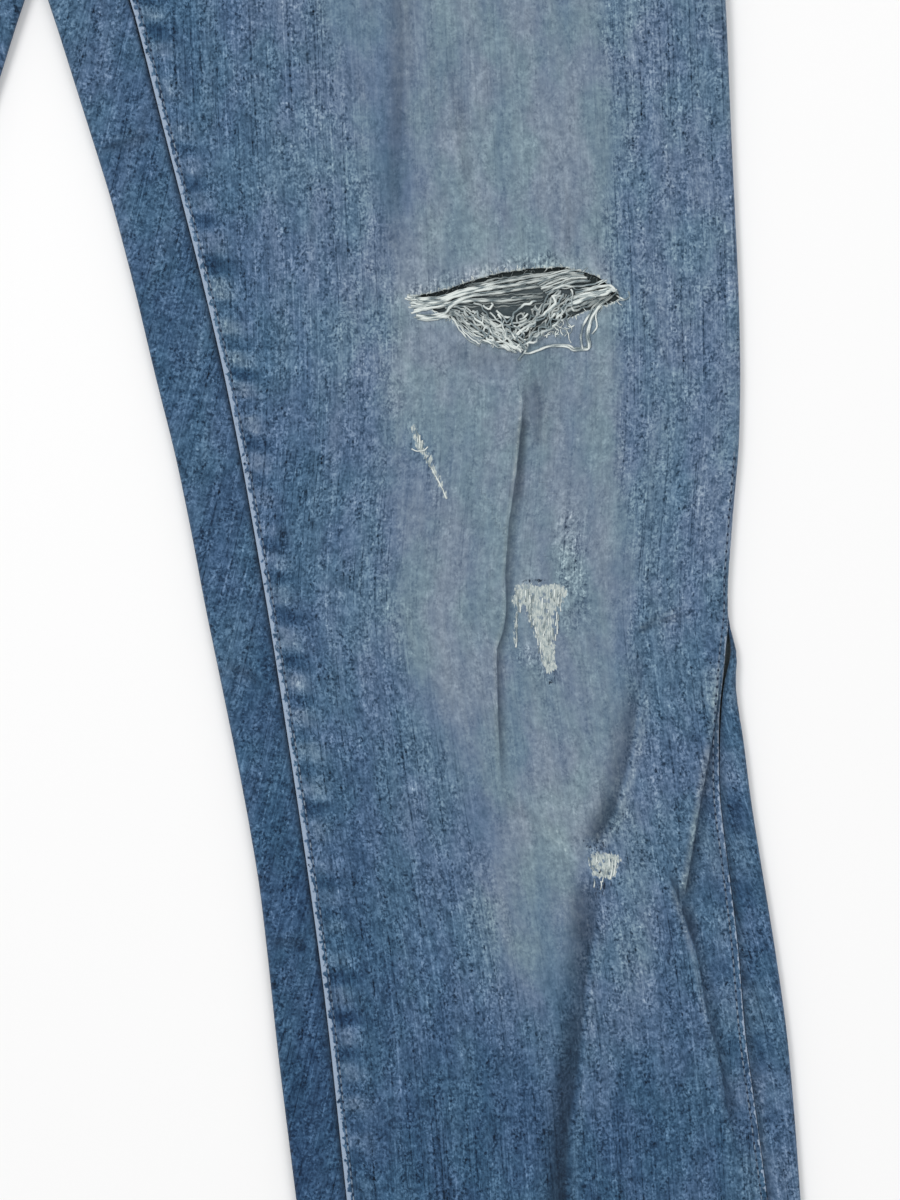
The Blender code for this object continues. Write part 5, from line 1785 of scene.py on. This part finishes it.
# ------------------------------------------------------------------ stage, light and camera
VIEW_CENTRE = (165.6, -256.0)
VIEW_HEIGHT = 0.48     # metres in view, at the middle height of the leg
MIDDLE_HEIGHT = 0.006
CAMERA_HEIGHT = 2.0
# columns: name, place, size, power
LAMPS = (("key", (-1.2, 1.2, 2.4), 1.2, 38.0), ("fill", (1.4, -0.6, 2.2), 1.6, 16.0))
METALS = (("waist_button", linear(176, 152, 116), linear(110, 92, 70), 0.35),
          ("fly_zip", linear(140, 132, 112), linear(88, 82, 70), 0.5))


def stage():
    mesh = bpy.data.meshes.new("floor")
    mesh.from_pydata([(-6, -6, 0), (6, -6, 0), (6, 6, 0), (-6, 6, 0)], [], [(0, 1, 2, 3)])
    floor = add_object("floor", mesh)
    mesh.materials.append(plain_material("floor", (0.93, 0.93, 0.93, 1), 0.9))
    world = bpy.data.worlds.new("studio")
    bpy.context.scene.world = world
    world.use_nodes = True
    fill(world.node_tree.nodes["Background"], Color=(1, 1, 1, 1), Strength=0.55)
    for name, place, size, power in LAMPS:
        light = bpy.data.lights.new(name, "AREA")
        light.size = size
        light.energy = power
        lamp = add_object(name, light)
        lamp.location = place
        lamp.rotation_mode = "QUATERNION"
        lamp.rotation_quaternion = (-Vector(place)).to_track_quat("-Z", "Y")
    data = bpy.data.cameras.new("camera")
    data.sensor_width = 36.0
    data.lens = data.sensor_width * (CAMERA_HEIGHT - MIDDLE_HEIGHT) / VIEW_HEIGHT
    camera = add_object("camera", data)
    camera.location = (VIEW_CENTRE[0] * MM, (VIEW_CENTRE[1] + ORIGIN_Y) * MM, CAMERA_HEIGHT)
    bpy.context.scene.camera = camera
    bpy.context.scene.view_settings.view_transform = "Standard"


stage()
MATERIALS["denim"] = denim_material("denim")
MATERIALS["denim_inside"] = denim_material("denim_inside", darker=0.12)
MATERIALS["reverse"] = reverse_material()
MATERIALS["thread"] = thread_material("thread", (linear(88, 112, 138), linear(140, 156, 172)), linear(26, 42, 64))
MATERIALS["yarn"] = thread_material("yarn", (linear(124, 139, 144), linear(224, 231, 228)), linear(80, 91, 93))
for side in ("left", "right"):
    front(side)
    back(side)
    yoke(side)
    facing(side)
    hem(side)
    back_pocket(side)
    sign = -1 if side == "right" else 1
    belt_loop(f"belt_loop_front_{side}", sign * FRONT_LOOP_X, True)
    belt_loop(f"belt_loop_back_{side}", sign * BACK_LOOP_X, False)
belt_loop("belt_loop_back_centre", 0, False)
waistband()
fly_shield()
surface = dressed_tree()
seam_stitches(surface)
seat_stitches(surface)
rip_threads(surface)
for name, colour, tarnish, rough in METALS:
    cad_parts[name].data.materials.clear()
    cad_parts[name].data.materials.append(metal_material(name, colour, tarnish, rough))
